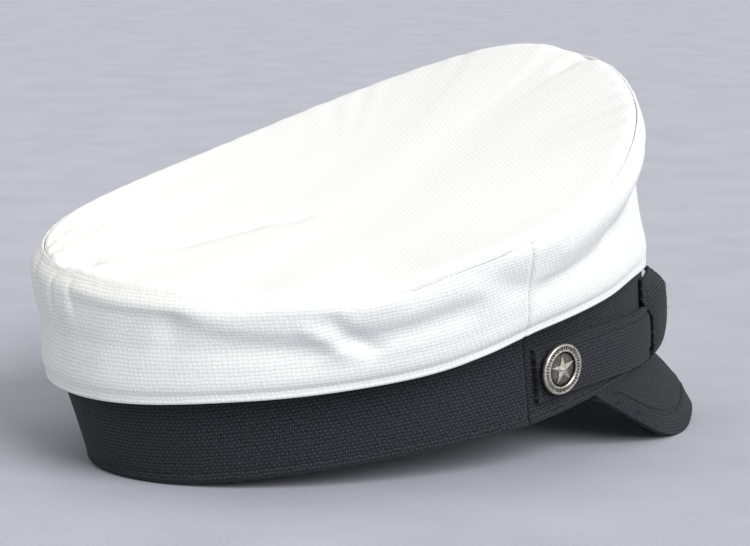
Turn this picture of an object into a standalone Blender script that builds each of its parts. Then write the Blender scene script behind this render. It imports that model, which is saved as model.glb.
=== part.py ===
"""Sailor cap, resting on its band's back edge and on its peak.

Metres, +Z up, the floor at z = 0. The peak points along -Y and the wearer's right side is -X.
Angles around the cap are in degrees from the centre front, growing toward the wearer's right.
"""
import math

import bmesh
import bpy
import numpy as np
from mathutils import Matrix, Vector

MM = 0.001

# Driving sizes
HEAD_LENGTH = 213.4 * MM       # inside the band, front to back, as it lies
HEAD_WIDTH = 149.6 * MM        # inside the band, side to side, as it lies
BAND_WALL = 3.0 * MM           # two layers of canvas and their webbing
BAND_HEIGHT = 37.5 * MM        # at the sides
BAND_FRONT_GAIN = 2.7 * MM     # more height at the front, less at the back
BAND_FLARE = 4.0 * MM          # each side of the band leans out by this
BAND_SLUMP = 1.6 * MM          # its soft top also leans back by this
REST_TILT = 8.54               # degrees that the band's front is lifted by the peak
REST_FLAT = 8.7 * MM           # length of the back edge that lies flat
HEM_SAG = 1.6 * MM             # the hem hangs down by this at the sides

TOP_LENGTH = 210.8 * MM        # the crown's top panel, seam to seam
TOP_WIDTH = 223.4 * MM
TOP_BACK = 15.9 * MM           # its middle sits this far behind the band's
TOP_HEIGHT = 94.7 * MM         # above the floor, at the band's middle
TOP_TILT = 20.06               # degrees, rising to the front
TOP_SAG = 17.2 * MM            # how far its ends stand above its middle
TOP_LEAN = 5.4 * MM            # the soft crown leans to the wearer's right
TOP_DOME = 1.4 * MM
CANVAS = 1.6 * MM              # thickness of the white canvas

LIP_OVERHANG = 13.0 * MM       # widest roll of the crown over the band
LIP_DROP = 6.3 * MM            # deepest hang of that roll below the band's top
WALL_BULGE = 5.4 * MM          # fullest swell of the crown's side wall
SEAM_WAVE = 3.0 * MM           # largest wave of the top seam
DENT_DEPTH = 2.6 * MM          # deepest dent in the crown's side wall

PEAK_WALL = 3.0 * MM
PEAK_REACH = 25.6 * MM         # how far the peak's tip stands in front of the band
PEAK_ROOT_ANGLE = 60.0         # where the peak leaves the band
PEAK_SWELL = 2.2 * MM          # rounding of the peak between band and edge
PEAK_RIM = 9.5 * MM            # flat border outside the peak's stitched groove
GROOVE_DEPTH = 0.9 * MM

STRAP_WIDTH = 20.0 * MM
STRAP_WALL = 2.0 * MM
STRAP_SLACK = 1.0 * MM         # its middle stands off the band by this, over the peak's seam
STRAP_END_ANGLE = 78.0
STRAP_ABOVE_HEM = 2.0 * MM     # from the band's bottom edge to the strap's, at the front
STRAP_END_RISE = 6.0 * MM      # its ends stand this much higher above the band's edge
LOOP_ANGLE = 20.2              # the two belt loops stand this far from the centre front
LOOP_WIDTH = 13.4 * MM
LOOP_TWIST = 0.32              # its rear edge stands this share nearer the band than its front one
LOOP_WALL = 2.2 * MM
LOOP_ABOVE_HEM = 1.2 * MM
LOOP_SLACK = 4.8 * MM          # room between the strap and the loop over it

BUTTON_DIAMETER = 18.4 * MM
BUTTON_HEIGHT = 3.4 * MM
BUTTON_ANGLE = 73.2
BUTTON_RAISE = 1.2 * MM        # it sits this much above the strap's middle
BUTTON_FIELD = 11.6 * MM       # diameter of the sunk field that holds the star
BUTTON_RECESS = 0.5 * MM
STAR_HEIGHT = 0.8 * MM
POST_DIAMETER = 7.0 * MM

BAND_SEAM_ANGLE = 79.6         # upright seams that part the band
WALL_SEAM_ANGLE = 83.5         # upright seams that part the crown's wall
GAP = 0.3 * MM                 # clearance between neighbouring pieces

SEAM_ALLOWANCE = 2.0           # degrees of cloth cut away along an upright seam

# Grid counts
BAND_COLUMNS, WALL_COLUMNS, TOP_COLUMNS, TOP_RINGS = 28, 30, 60, 7
PEAK_COLUMNS, PEAK_ROWS, STRAP_COLUMNS, BUTTON_SIDES = 30, 8, 34, 40

# How the crown's lower edge rolls over the band: angle from the centre front,
# outward share of LIP_OVERHANG, downward share of LIP_DROP
LIP_ROLL = (
    (0, 0.04, -0.20),
    (30, 0.10, -0.08),
    (50, 0.45, 0.00),
    (62, 0.70, 0.04),
    (74, 0.86, 0.05),
    (82, 0.95, 0.12),
    (91, 1.00, 0.56),
    (98, 0.99, 0.88),
    (106, 0.97, 1.00),
    (120, 0.92, 0.92),
    (138, 0.70, 0.70),
    (155, 0.38, 0.66),
    (180, 0.14, 0.69),
)

# Swell of the side wall as shares of WALL_BULGE: height share between lip and seam,
# then the share at the centre front, beside it, at the side and at the back
WALL_SWELL_ANGLES = (0, 25, 80, 160)
WALL_SWELL = (
    (0.00, 0.00, 0.00, 0.00, 0.00),
    (0.10, 0.09, 0.07, 0.30, 0.30),
    (0.30, -0.09, -0.24, 0.33, 0.41),
    (0.48, -0.15, -0.37, 0.33, 0.57),
    (0.62, 0.00, -0.24, 0.41, 0.87),
    (0.76, 0.22, 0.19, 0.52, 1.00),
    (0.85, 0.37, 0.37, 0.56, 0.94),
    (0.95, 0.28, 0.28, 0.37, 0.48),
    (1.00, 0.00, 0.00, 0.00, 0.00),
)

# Waves of the top seam: angle, share of SEAM_WAVE that it stands higher
SEAM_WAVES = (
    (-180, -0.07), (-150, 0.30), (-127, 0.73), (-106, 0.62), (-85, 0.28), (-66, 0.13),
    (-48, 0.20), (-33, 0.58), (-20, 1.00), (-9, 0.85), (0, 0.20), (12, 0.27),
    (27, -0.05), (41, 0.25), (60, -0.57), (75, -0.23), (90, 0.53), (98, 0.42),
    (111, -0.53), (126, 0.25), (137, -0.22), (149, 0.18), (167, -0.20), (180, -0.07),
)

# Soft dents and creases of the side wall. Each runs from one angle and height share to
# another; its width is a share of the wall's height and its depth one of DENT_DEPTH,
# below zero where the cloth swells.
WALL_DENTS = (
    # from_angle, from_height, to_angle, to_height, width, depth
    (168, 0.70, 121, 0.36, 0.16, 0.55),
    (118, 0.73, 112, 0.40, 0.12, 0.55),
    (113, 0.50, 97, 0.50, 0.16, 0.50),
    (104, 0.93, 90, 0.97, 0.13, 1.00),
    (92, 0.90, 86, 0.58, 0.14, 0.40),
    (81, 0.46, 37, 0.56, 0.17, 0.60),
    (197, 0.93, 190, 0.72, 0.10, 0.60),
    (182, 0.97, 181, 0.70, 0.10, 0.70),
    (70, 0.75, 45, 0.80, 0.16, -0.30),
)

# The peak's edge: share from the centre to the root, sideways share of the band's half
# width, forward share between the band's middle and the tip, and height as a share of
# the band's lift at its centre front
PEAK_EDGE = (
    (0.00, 0.000, 1.000, 0.300),
    (0.22, 0.273, 0.962, 0.210),
    (0.42, 0.446, 0.906, 0.136),
    (0.58, 0.594, 0.824, 0.000),
    (0.72, 0.707, 0.735, 0.010),
    (0.84, 0.795, 0.641, 0.138),
    (0.93, 0.845, 0.538, 0.375),
    (1.00, 0.890, 0.401, 0.800),
)

BAND_LEAN_BACK = BAND_HEIGHT * math.sin(math.radians(REST_TILT)) + BAND_SLUMP
BAND_EGG = -0.04               # the band is a little fuller toward its front
TOP_EGG = -0.07

MATERIALS = {
    # name: (colour, roughness, metallic)
    "white_canvas": ((0.86, 0.86, 0.86, 1.0), 0.95, 0.0),
    "black_canvas": ((0.014, 0.015, 0.018, 1.0), 0.95, 0.0),
    "old_silver": ((0.42, 0.40, 0.37, 1.0), 0.38, 1.0),
}


def clear_scene():
    """Removes every object, so that the script can be run again."""
    for thing in list(bpy.data.objects):
        bpy.data.objects.remove(thing, do_unlink=True)


def material(name):
    """Gives the named finish, made on its first use."""
    found = bpy.data.materials.get(name)
    if found:
        return found
    colour, roughness, metallic = MATERIALS[name]
    made = bpy.data.materials.new(name)
    made.use_nodes = True
    shader = made.node_tree.nodes["Principled BSDF"]
    shader.inputs["Base Color"].default_value = colour
    shader.inputs["Roughness"].default_value = roughness
    shader.inputs["Metallic"].default_value = metallic
    return made


def eased(table, x, column=1):
    """Reads a column of a table at x, easing smoothly from row to row."""
    rows = np.array(table, float)
    x = np.asarray(x, float)
    i = np.clip(np.searchsorted(rows[:, 0], x, side="right") - 1, 0, len(rows) - 2)
    u = np.clip((x - rows[i, 0]) / (rows[i + 1, 0] - rows[i, 0]), 0, 1)
    u = u * u * (3 - 2 * u)
    return rows[i, column] * (1 - u) + rows[i + 1, column] * u


def from_front(angle):
    """Folds an angle to the 0 to 180 degrees that the symmetric tables use."""
    return np.abs((np.asarray(angle, float) + 180) % 360 - 180)


def oval(angle, length, width, back, egg):
    """Gives x and y on an oval of that length and width, centred that far back."""
    a = np.radians(np.asarray(angle, float))
    x = -width / 2 * np.sin(a) * (1 - egg * np.cos(a))
    return x, back - length / 2 * np.cos(a)


def outward(angle, length, width, back, egg):
    """Gives the level outward direction of an oval."""
    xa, ya = oval(np.asarray(angle) + 0.5, length, width, back, egg)
    xb, yb = oval(np.asarray(angle) - 0.5, length, width, back, egg)
    nx, ny = -(ya - yb), xa - xb
    size = np.hypot(nx, ny)
    return nx / size, ny / size


def band_sizes(level):
    """Gives the band's outer oval at a level, from 0 at its hem to 1 at its top."""
    length = HEAD_LENGTH + 2 * BAND_WALL + 2 * BAND_FLARE * level
    width = HEAD_WIDTH + 2 * BAND_WALL + 2 * BAND_FLARE * level
    return length, width, BAND_LEAN_BACK * level, BAND_EGG


def lift(y):
    """Gives the height of the band's hem above the floor, flat at its back."""
    flat_from = HEAD_LENGTH / 2 + BAND_WALL - REST_FLAT
    soft = 4 * MM
    rise = soft * np.logaddexp(0, (flat_from - np.asarray(y, float)) / soft) - 0.3 * soft
    sag = HEM_SAG * np.exp(-((np.asarray(y, float) / HEAD_LENGTH + 0.08) / 0.17) ** 2)
    return math.tan(math.radians(REST_TILT)) * np.maximum(0, rise) - sag


def band_point(angle, level, out=0.0, up=0.0):
    """Gives a place on the band's outer face, or that far out from it and up."""
    sizes = band_sizes(level)
    x, y = oval(angle, *sizes)
    nx, ny = outward(angle, *sizes)
    hem = oval(angle, *band_sizes(0.0))[1]
    height = BAND_HEIGHT - BAND_FRONT_GAIN * hem / (HEAD_LENGTH / 2)
    z = lift(hem) + height * level + up
    return np.stack([x + nx * out, y + ny * out, z + 0 * x], -1)


def hem_level(distance, angle):
    """Turns a distance above the band's hem into a level at that angle."""
    low, high = band_point(angle, 0.0), band_point(angle, 1.0)
    return distance / np.linalg.norm(high - low, axis=-1)


def strap_foot(angle):
    """Gives how far above the band's hem the strap's lower edge runs."""
    start = LOOP_ANGLE + 5
    u = np.clip((np.abs(angle) - start) / (STRAP_END_ANGLE - start), 0, 1)
    return STRAP_ABOVE_HEM + STRAP_END_RISE * u * u * (3 - 2 * u)


def strap_slack(angle):
    """Gives how far the strap stands off the band, eased away toward its ends."""
    u = np.clip((np.abs(angle) - LOOP_ANGLE - 5) / LOOP_ANGLE, 0, 1)
    return STRAP_SLACK * (1 - u * u * (3 - 2 * u))


def top_height(x, y):
    """Gives the top panel's height: tilted up to the front, sagging and leaning."""
    sag = TOP_SAG * (y / (TOP_LENGTH / 2)) ** 2
    return TOP_HEIGHT - math.tan(math.radians(TOP_TILT)) * y + sag + TOP_LEAN * x / (TOP_WIDTH / 2)


def seam_point(angle):
    """Gives a place on the seam around the top panel."""
    x, y = oval(angle, TOP_LENGTH, TOP_WIDTH, TOP_BACK, TOP_EGG)
    turned = (np.asarray(angle, float) + 180) % 360 - 180
    wave = SEAM_WAVE * eased(SEAM_WAVES, turned)
    return np.stack([x, y, top_height(x, y) + wave], -1)


def lip_point(angle, share=1.0, up=0.0):
    """Gives the crown's rolled lower edge, or a share of the way out to it."""
    a = from_front(angle)
    out = LIP_OVERHANG * eased(LIP_ROLL, a, 1) * share
    down = LIP_DROP * eased(LIP_ROLL, a, 2)
    return band_point(angle, 1.0, out, -down + up)


def dent(angle, height):
    """Gives how far the wall's dents push a place in."""
    depth = np.zeros(np.broadcast(angle, height).shape)
    turn = math.pi * TOP_LENGTH / 360
    tall = (TOP_HEIGHT - BAND_HEIGHT) * 0.75
    px = np.asarray(angle, float) * turn
    py = np.asarray(height, float) * tall
    for a0, h0, a1, h1, width, share in WALL_DENTS:
        x0, y0, x1, y1 = a0 * turn, h0 * tall, a1 * turn, h1 * tall
        run = (x1 - x0) ** 2 + (y1 - y0) ** 2
        s = np.clip(((px - x0) * (x1 - x0) + (py - y0) * (y1 - y0)) / run, 0, 1)
        away = np.hypot(px - x0 - s * (x1 - x0), py - y0 - s * (y1 - y0))
        depth = depth + share * DENT_DEPTH * np.exp(-(away / (width * tall)) ** 2)
    return depth


def wall_point(angle, height):
    """Gives the crown's side wall between its lip, at 0, and the top seam, at 1."""
    low, high = lip_point(angle, 1.0, CANVAS), seam_point(angle)
    place = low + (high - low) * height
    swell_rows = [np.interp(height, [r[0] for r in WALL_SWELL], [r[i + 1] for r in WALL_SWELL])
                  for i in range(len(WALL_SWELL_ANGLES))]
    swell = eased(tuple(zip(WALL_SWELL_ANGLES, swell_rows)), from_front(angle)) * WALL_BULGE
    fade = math.sin(math.pi * height)
    nx, ny = outward(angle, TOP_LENGTH, TOP_WIDTH, TOP_BACK, TOP_EGG)
    near = np.asarray(angle, float) % 360
    push = swell - dent(near, np.full_like(near, height)) * fade
    return place + np.stack([nx * push, ny * push, 0 * push], -1)


def edge_point(share):
    """Gives the peak's outer edge; share is -1 to 1 from root to root."""
    s = np.abs(share)
    half_width = HEAD_WIDTH / 2 + BAND_WALL
    tip = HEAD_LENGTH / 2 + BAND_WALL + PEAK_REACH
    rows = np.array(PEAK_EDGE, float)
    x = smooth_column(rows, s, 1) * half_width * np.sign(share) * -1
    y = -smooth_column(rows, s, 2) * tip
    z = smooth_column(rows, s, 3) * lift(-HEAD_LENGTH / 2 - BAND_WALL)
    return np.stack([x, y, z], -1)


def smooth_column(rows, x, column):
    """Reads a table's column with a cubic that keeps its slopes even."""
    xs, ys = rows[:, 0], rows[:, column]
    slopes = np.gradient(ys, xs)
    x = np.asarray(x, float)
    i = np.clip(np.searchsorted(xs, x, side="right") - 1, 0, len(xs) - 2)
    h = xs[i + 1] - xs[i]
    u = (x - xs[i]) / h
    a, b = ys[i], ys[i + 1]
    return ((2 * u ** 3 - 3 * u ** 2 + 1) * a + (u ** 3 - 2 * u ** 2 + u) * h * slopes[i]
            + (-2 * u ** 3 + 3 * u ** 2) * b + (u ** 3 - u ** 2) * h * slopes[i + 1])


def grid_mesh(name, rows, ring=False, cap_start=None, cap_end=None):
    """Makes a sheet through rows of points; a ring closes on itself.

    A cap closes the first or last row with a fan to the given point.
    """
    shape = bmesh.new()
    verts = [[shape.verts.new(p) for p in row] for row in rows]
    count = len(rows[0])
    columns = count if ring else count - 1
    for low, high in zip(verts, verts[1:]):
        for i in range(columns):
            j = (i + 1) % count
            shape.faces.new((low[j], low[i], high[i], high[j]))
    for row, tip, turned in ((verts[0], cap_start, False), (verts[-1], cap_end, True)):
        if tip is None:
            continue
        middle = shape.verts.new(tip)
        for i in range(columns):
            pair = (row[i], row[(i + 1) % count])
            shape.faces.new((*reversed(pair), middle) if turned else (*pair, middle))
    mesh = bpy.data.meshes.new(name)
    shape.to_mesh(mesh)
    shape.free()
    return mesh


def add_piece(name, mesh, finish, group):
    """Puts a mesh in the scene as a named piece with its finish."""
    piece = bpy.data.objects.new(name, mesh)
    group.objects.link(piece)
    mesh.materials.append(material(finish))
    for face in mesh.polygons:
        face.use_smooth = True
    return piece


def thicken(piece, wall):
    """Gives an open sheet its wall, behind its outer face."""
    tool = piece.modifiers.new("wall", "SOLIDIFY")
    tool.thickness = wall
    tool.offset = -1.0
    tool.use_even_offset = False


def bake(piece):
    """Replaces the piece's mesh by what its modifiers make of it."""
    graph = bpy.context.evaluated_depsgraph_get()
    baked = bpy.data.meshes.new_from_object(piece.evaluated_get(graph))
    piece.modifiers.clear()
    piece.data = baked


def rest_on_floor(piece):
    """Presses what would sink below the floor flat onto it."""
    bake(piece)
    for vertex in piece.data.vertices:
        vertex.co.z = max(0.0, vertex.co.z)


def cut_at_seam(piece, angle, keep):
    """Cuts a crown panel along the upright seam at an angle, half a gap clear of it.

    keep is 1 for the side where angles grow and -1 for the other.
    """
    low, high = (Vector(p) for p in (lip_point(angle), seam_point(angle)))
    nx, ny = outward(angle, TOP_LENGTH, TOP_WIDTH, TOP_BACK, TOP_EGG)
    across = (high - low).cross(Vector((float(nx), float(ny), 0.0))).normalized()
    if across.dot(Vector(seam_point(angle + 1)) - high) < 0:
        across.negate()
    shape = bmesh.new()
    shape.from_mesh(piece.data)
    faces = [f for f in shape.faces if f.calc_center_median().x * low.x > 0]
    edges = {e for f in faces for e in f.edges}
    verts = {v for f in faces for v in f.verts}
    bmesh.ops.bisect_plane(
        shape, geom=[*faces, *edges, *verts], dist=1e-6,
        plane_co=low + across * keep * GAP / 2, plane_no=across * -keep, clear_outer=True)
    bmesh.ops.holes_fill(shape, edges=[e for e in shape.edges if e.is_boundary])
    bmesh.ops.recalc_face_normals(shape, faces=shape.faces)
    shape.to_mesh(piece.data)
    shape.free()


def band_panel(name, start, end, group):
    """Builds one length of the band as a closed strip with a level hem."""
    angles = np.linspace(start, end, BAND_COLUMNS + 1)
    levels = (0.0, 0.5, 1.0)
    outer = [band_point(angles, level) for level in levels]
    inner = [band_point(angles, level, -BAND_WALL) for level in levels]
    rows = outer + inner[::-1]
    strip = grid_mesh(name, [np.array(r) for r in zip(*rows)], ring=True)
    shape = bmesh.new()
    shape.from_mesh(strip)
    bmesh.ops.holes_fill(shape, edges=[e for e in shape.edges if e.is_boundary])
    bmesh.ops.recalc_face_normals(shape, faces=shape.faces)
    shape.to_mesh(strip)
    shape.free()
    piece = add_piece(name, strip, "black_canvas", group)
    return piece


def crown_panel(name, start, end, group):
    """Builds one panel of the crown's side wall, from the band's top to the seam."""
    angles = np.linspace(start - SEAM_ALLOWANCE, end + SEAM_ALLOWANCE, WALL_COLUMNS + 1)
    rows = [
        band_point(angles, 1.0, -0.3 * CANVAS, 3 * GAP),
        (band_point(angles, 1.0, 0.0, 3 * GAP) + lip_point(angles)) / 2,
        lip_point(angles, 0.82),
    ]
    for height in (0.0, 0.10, 0.24, 0.40, 0.55, 0.70, 0.82, 0.90):
        rows.append(wall_point(angles, height))
    rows.append(seam_point(angles))
    piece = add_piece(name, grid_mesh(name, rows), "white_canvas", group)
    thicken(piece, CANVAS)
    bake(piece)
    cut_at_seam(piece, start, 1)
    cut_at_seam(piece, end, -1)
    return piece


def crown_top(group):
    """Builds the top panel inside its seam."""
    angles = np.arange(TOP_COLUMNS) * 360 / TOP_COLUMNS
    seam = seam_point(angles)
    nx, ny = outward(angles, TOP_LENGTH, TOP_WIDTH, TOP_BACK, TOP_EGG)
    seam[:, :2] -= np.stack([nx, ny], -1) * (1.5 * CANVAS + GAP)
    middle = np.array([0.0, TOP_BACK])
    rows = []
    for ring in range(TOP_RINGS, 0, -1):
        share = ring / TOP_RINGS
        x = middle[0] + (seam[:, 0] - middle[0]) * share
        y = middle[1] + (seam[:, 1] - middle[1]) * share
        flat = top_height(x, y)
        edge = seam[:, 2] - top_height(seam[:, 0], seam[:, 1])
        z = flat + edge * share ** 4 + TOP_DOME * (1 - share ** 4)
        rows.append(np.stack([x, y, z], -1))
    tip = (0.0, TOP_BACK, float(top_height(0.0, TOP_BACK)) + TOP_DOME)
    piece = add_piece("crown_top", grid_mesh("crown_top", rows, True, cap_end=tip), "white_canvas", group)
    thicken(piece, CANVAS)
    return piece


def peak(group):
    """Builds the peak: stiffened cloth with a sunk line inside its border."""
    shares = np.linspace(-1, 1, PEAK_COLUMNS + 1)
    root = band_point(shares * PEAK_ROOT_ANGLE, 0.0, -0.4 * BAND_WALL, -2 * GAP)
    edge = edge_point(shares)
    length = np.linalg.norm(edge - root, axis=-1)
    border = np.clip(PEAK_RIM / length, 0.0, 0.6)
    rows = []
    steps = np.linspace(0, 1, PEAK_ROWS + 1)
    for step in steps:
        place = root + (edge - root) * step
        swell = PEAK_SWELL * math.sin(math.pi * step) * np.sin(math.pi * np.clip((1 - np.abs(shares)) * 4, 0, 0.5))
        sink = GROOVE_DEPTH * np.exp(-((1 - step - border) / 0.07) ** 2)
        forward = np.stack([np.sin(np.radians(shares * 50)) * -0.6, -0.6 + 0 * shares, 0.8 + 0 * shares], -1)
        rows.append(place + forward * (swell - sink * (abs(shares) < 0.93))[:, None])
    piece = add_piece("peak", grid_mesh("peak", rows[::-1]), "black_canvas", group)
    thicken(piece, PEAK_WALL)
    rest_on_floor(piece)
    return piece


def strap(group):
    """Builds the strap across the front, lying on the band."""
    angles = np.linspace(-STRAP_END_ANGLE, STRAP_END_ANGLE, STRAP_COLUMNS + 1)
    low = hem_level(strap_foot(angles), angles)
    high = hem_level(strap_foot(angles) + STRAP_WIDTH, angles)
    rows = []
    for step in (0.0, 0.5, 1.0):
        rows.append(np.array([band_point(a, l + (h - l) * step, GAP + STRAP_WALL + strap_slack(a))
                              for a, l, h in zip(angles, low, high)]))
    piece = add_piece("strap", grid_mesh("strap", rows), "black_canvas", group)
    thicken(piece, STRAP_WALL)
    return piece


def belt_loop(name, side, group):
    """Builds a belt loop that stands over the strap and meets the band at both ends."""
    half = math.degrees(LOOP_WIDTH / 2 / (HEAD_LENGTH / 2))
    angles = np.linspace(LOOP_ANGLE - half, LOOP_ANGLE + half, 4)
    clear = GAP + STRAP_SLACK + STRAP_WALL + LOOP_SLACK + LOOP_WALL
    near = 1 - LOOP_TWIST * np.linspace(0, 1, 4)[:, None] ** 1.5
    ends = LOOP_WALL + GAP
    middle = float(hem_level(strap_foot(LOOP_ANGLE) + STRAP_WIDTH / 2, LOOP_ANGLE))
    reach = float(hem_level(STRAP_WIDTH / 2 + 1.6 * MM, LOOP_ANGLE))
    low = float(hem_level(LOOP_ABOVE_HEM - LOOP_WALL, LOOP_ANGLE))
    high = float(hem_level(np.linalg.norm(band_point(LOOP_ANGLE, 1.0) - band_point(LOOP_ANGLE, 0.0))
                           - LIP_DROP * 1.4, LOOP_ANGLE))
    profile = (
        # level on the band, distance out from it
        (low, ends), (middle - reach, clear * 0.86), (middle - reach * 0.5, clear),
        (middle + reach * 0.5, clear), (middle + reach, clear * 0.72), (high, ends),
    )
    rows = []
    for level, out in profile:
        far, foot = band_point(angles, level, out), band_point(angles, level, ends)
        rows.append(foot + (far - foot) * near)
    if side < 0:
        rows = [(row * [-1, 1, 1])[::-1] for row in rows]
    piece = add_piece(name, grid_mesh(name, rows), "black_canvas", group)
    thicken(piece, LOOP_WALL)
    return piece


def button(name, side, group):
    """Builds a tack button: a ring around a sunk field with a five-point star."""
    radius, field = BUTTON_DIAMETER / 2, BUTTON_FIELD / 2
    edge = 0.5 * MM
    cap_low = BUTTON_HEIGHT * 0.42
    profile = (
        # radius, height above the strap
        (POST_DIAMETER / 2, 0.0),
        (POST_DIAMETER / 2, cap_low),
        (radius - edge, cap_low),
        (radius, cap_low + edge),
        (radius, BUTTON_HEIGHT - edge),
        (radius - edge, BUTTON_HEIGHT),
        (field + edge, BUTTON_HEIGHT),
        (field, BUTTON_HEIGHT - BUTTON_RECESS),
    )
    turn = np.arange(BUTTON_SIDES) * 2 * math.pi / BUTTON_SIDES
    rows = [np.stack([r * np.cos(turn), r * np.sin(turn), h + 0 * turn], -1) for r, h in profile]
    mesh = grid_mesh(name, rows, True, cap_start=(0, 0, 0))
    shape = bmesh.new()
    shape.from_mesh(mesh)
    shape.verts.ensure_lookup_table()
    start = (len(profile) - 1) * BUTTON_SIDES
    last = shape.verts[start:start + BUTTON_SIDES]
    floor_height = BUTTON_HEIGHT - BUTTON_RECESS
    arms = []
    for i in range(10):
        r = field * (0.95 if i % 2 == 0 else 0.36)
        a = i * math.pi / 5
        arms.append(shape.verts.new((r * math.cos(a), r * math.sin(a), floor_height)))
    peak_point = shape.verts.new((0, 0, floor_height + STAR_HEIGHT))
    per_arm = BUTTON_SIDES // 10
    for i in range(10):
        here, after = arms[i], arms[(i + 1) % 10]
        shape.faces.new((here, after, peak_point))
        for k in range(per_arm):
            a, b = last[i * per_arm + k], last[(i * per_arm + k + 1) % BUTTON_SIDES]
            shape.faces.new((a, b, here if k < per_arm // 2 else after))
        turned = last[i * per_arm + per_arm // 2]
        shape.faces.new((turned, after, here))
    bmesh.ops.recalc_face_normals(shape, faces=shape.faces)
    shape.to_mesh(mesh)
    shape.free()
    level = float(hem_level(strap_foot(BUTTON_ANGLE) + STRAP_WIDTH / 2 + BUTTON_RAISE, BUTTON_ANGLE))
    place = Vector(band_point(BUTTON_ANGLE, level, STRAP_WALL + 2 * GAP))
    below, above = (Vector(band_point(BUTTON_ANGLE, lv)) for lv in (0.0, 1.0))
    nx, ny = outward(BUTTON_ANGLE, *band_sizes(level))
    up = (above - below).normalized()
    out = Vector((float(nx), float(ny), 0.0))
    out = (out - up * out.dot(up)).normalized()
    across = up.cross(out)
    frame = Matrix((up, across * -1, out)).transposed().to_4x4()
    if frame.determinant() < 0:
        frame = Matrix((up, across, out)).transposed().to_4x4()
    frame.translation = place
    mesh.transform(frame)
    if side < 0:
        mesh.transform(Matrix.Diagonal((-1, 1, 1, 1)))
        mesh.flip_normals()
    piece = add_piece(name, mesh, "old_silver", group)
    for face in mesh.polygons:
        face.use_smooth = False
    return piece


def half_gap(angle_length):
    """Gives the angle that half a gap takes on an oval of that length."""
    return math.degrees(GAP / angle_length)


def stand_on_origin(group):
    """Moves the cap so that the origin lies on the floor under the middle of its box."""
    graph = bpy.context.evaluated_depsgraph_get()
    places = np.concatenate([
        np.array([v.co for v in bpy.data.meshes.new_from_object(p.evaluated_get(graph)).vertices])
        for p in group.objects])
    low, high = places.min(0), places.max(0)
    for piece in group.objects:
        piece.location = (-(low[0] + high[0]) / 2, -(low[1] + high[1]) / 2, -low[2])


def main():
    clear_scene()
    group = bpy.data.collections.new("sailor_cap")
    bpy.context.scene.collection.children.link(group)
    trim = half_gap(HEAD_WIDTH)
    band_panel("band_front", -BAND_SEAM_ANGLE + trim, BAND_SEAM_ANGLE - trim, group)
    band_panel("band_rear", BAND_SEAM_ANGLE + trim, 360 - BAND_SEAM_ANGLE - trim, group)
    crown_panel("crown_front", -WALL_SEAM_ANGLE, WALL_SEAM_ANGLE, group)
    crown_panel("crown_rear", WALL_SEAM_ANGLE, 360 - WALL_SEAM_ANGLE, group)
    crown_top(group)
    peak(group)
    strap(group)
    belt_loop("loop_right", 1, group)
    belt_loop("loop_left", -1, group)
    button("button_right", 1, group)
    button("button_left", -1, group)
    stand_on_origin(group)


main()
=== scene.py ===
"""Looks for a soft white sailor cap with a black band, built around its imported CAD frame.

The cap lies on its band's back edge and on its peak. The peak points along -Y and the
wearer's right side is -X. Angles around the cap are in degrees from the centre front,
growing toward the wearer's right. Lengths are in metres unless a name ends in mm.
"""

import logging
import math
from dataclasses import dataclass
from enum import Enum
from functools import cache

import bmesh
import bpy
import numpy as np
from mathutils import Matrix, Vector


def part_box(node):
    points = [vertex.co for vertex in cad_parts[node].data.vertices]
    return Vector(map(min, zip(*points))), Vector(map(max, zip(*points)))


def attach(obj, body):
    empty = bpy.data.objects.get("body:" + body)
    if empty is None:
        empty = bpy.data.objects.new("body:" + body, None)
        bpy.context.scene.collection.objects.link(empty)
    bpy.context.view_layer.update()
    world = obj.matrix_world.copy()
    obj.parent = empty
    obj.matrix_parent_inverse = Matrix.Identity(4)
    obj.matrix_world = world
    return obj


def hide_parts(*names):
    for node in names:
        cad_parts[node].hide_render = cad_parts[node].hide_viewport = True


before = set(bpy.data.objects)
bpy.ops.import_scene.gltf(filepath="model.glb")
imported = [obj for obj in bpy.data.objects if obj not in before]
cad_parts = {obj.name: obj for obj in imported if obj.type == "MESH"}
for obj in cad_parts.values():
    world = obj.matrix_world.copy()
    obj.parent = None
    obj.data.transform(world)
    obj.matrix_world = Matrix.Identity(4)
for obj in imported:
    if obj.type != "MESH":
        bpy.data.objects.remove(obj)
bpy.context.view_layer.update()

LOG = logging.getLogger("sailor_cap")
MM = 0.001
BODY = "root"
WEAVE_MAP = "weave"            # UV map in millimetres along and across the cloth's rows
CROWN_MM_PER_DEGREE = 1.9      # length of cloth for each degree around the crown
BAND_MM_PER_DEGREE = 1.8       # and around the band
Table = tuple[tuple[float, ...], ...]


class Slot(Enum):
    """The record's material slots."""

    WHITE = "white_canvas"
    BLACK = "black_canvas"
    SILVER = "old_silver"


def linear(code: str) -> tuple[float, float, float, float]:
    """Turns an sRGB hex colour into linear light.

    Args:
        code: Six hex digits.

    Returns:
        Red, green, blue and an alpha of one.
    """
    parts = [int(code[i:i + 2], 16) / 255 for i in (0, 2, 4)]
    return (*(p / 12.92 if p <= 0.04045 else ((p + 0.055) / 1.055) ** 2.4 for p in parts), 1.0)


def add_node(tree: bpy.types.NodeTree, kind: str, settings: dict | None = None,
             links: dict | None = None) -> bpy.types.Node:
    """Adds a node to a tree with its settings and links.

    Args:
        tree: The shader or geometry tree.
        kind: The node's type name.
        settings: Attribute names, or input names and numbers, with their values.
        links: Input names or numbers, with the sockets that feed them.

    Returns:
        The new node.
    """
    made = tree.nodes.new(kind)
    for key, value in (settings or {}).items():
        if isinstance(key, str) and hasattr(made, key):
            setattr(made, key, value)
        else:
            made.inputs[key].default_value = value
    for key, socket in (links or {}).items():
        tree.links.new(socket, made.inputs[key])
    return made


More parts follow.
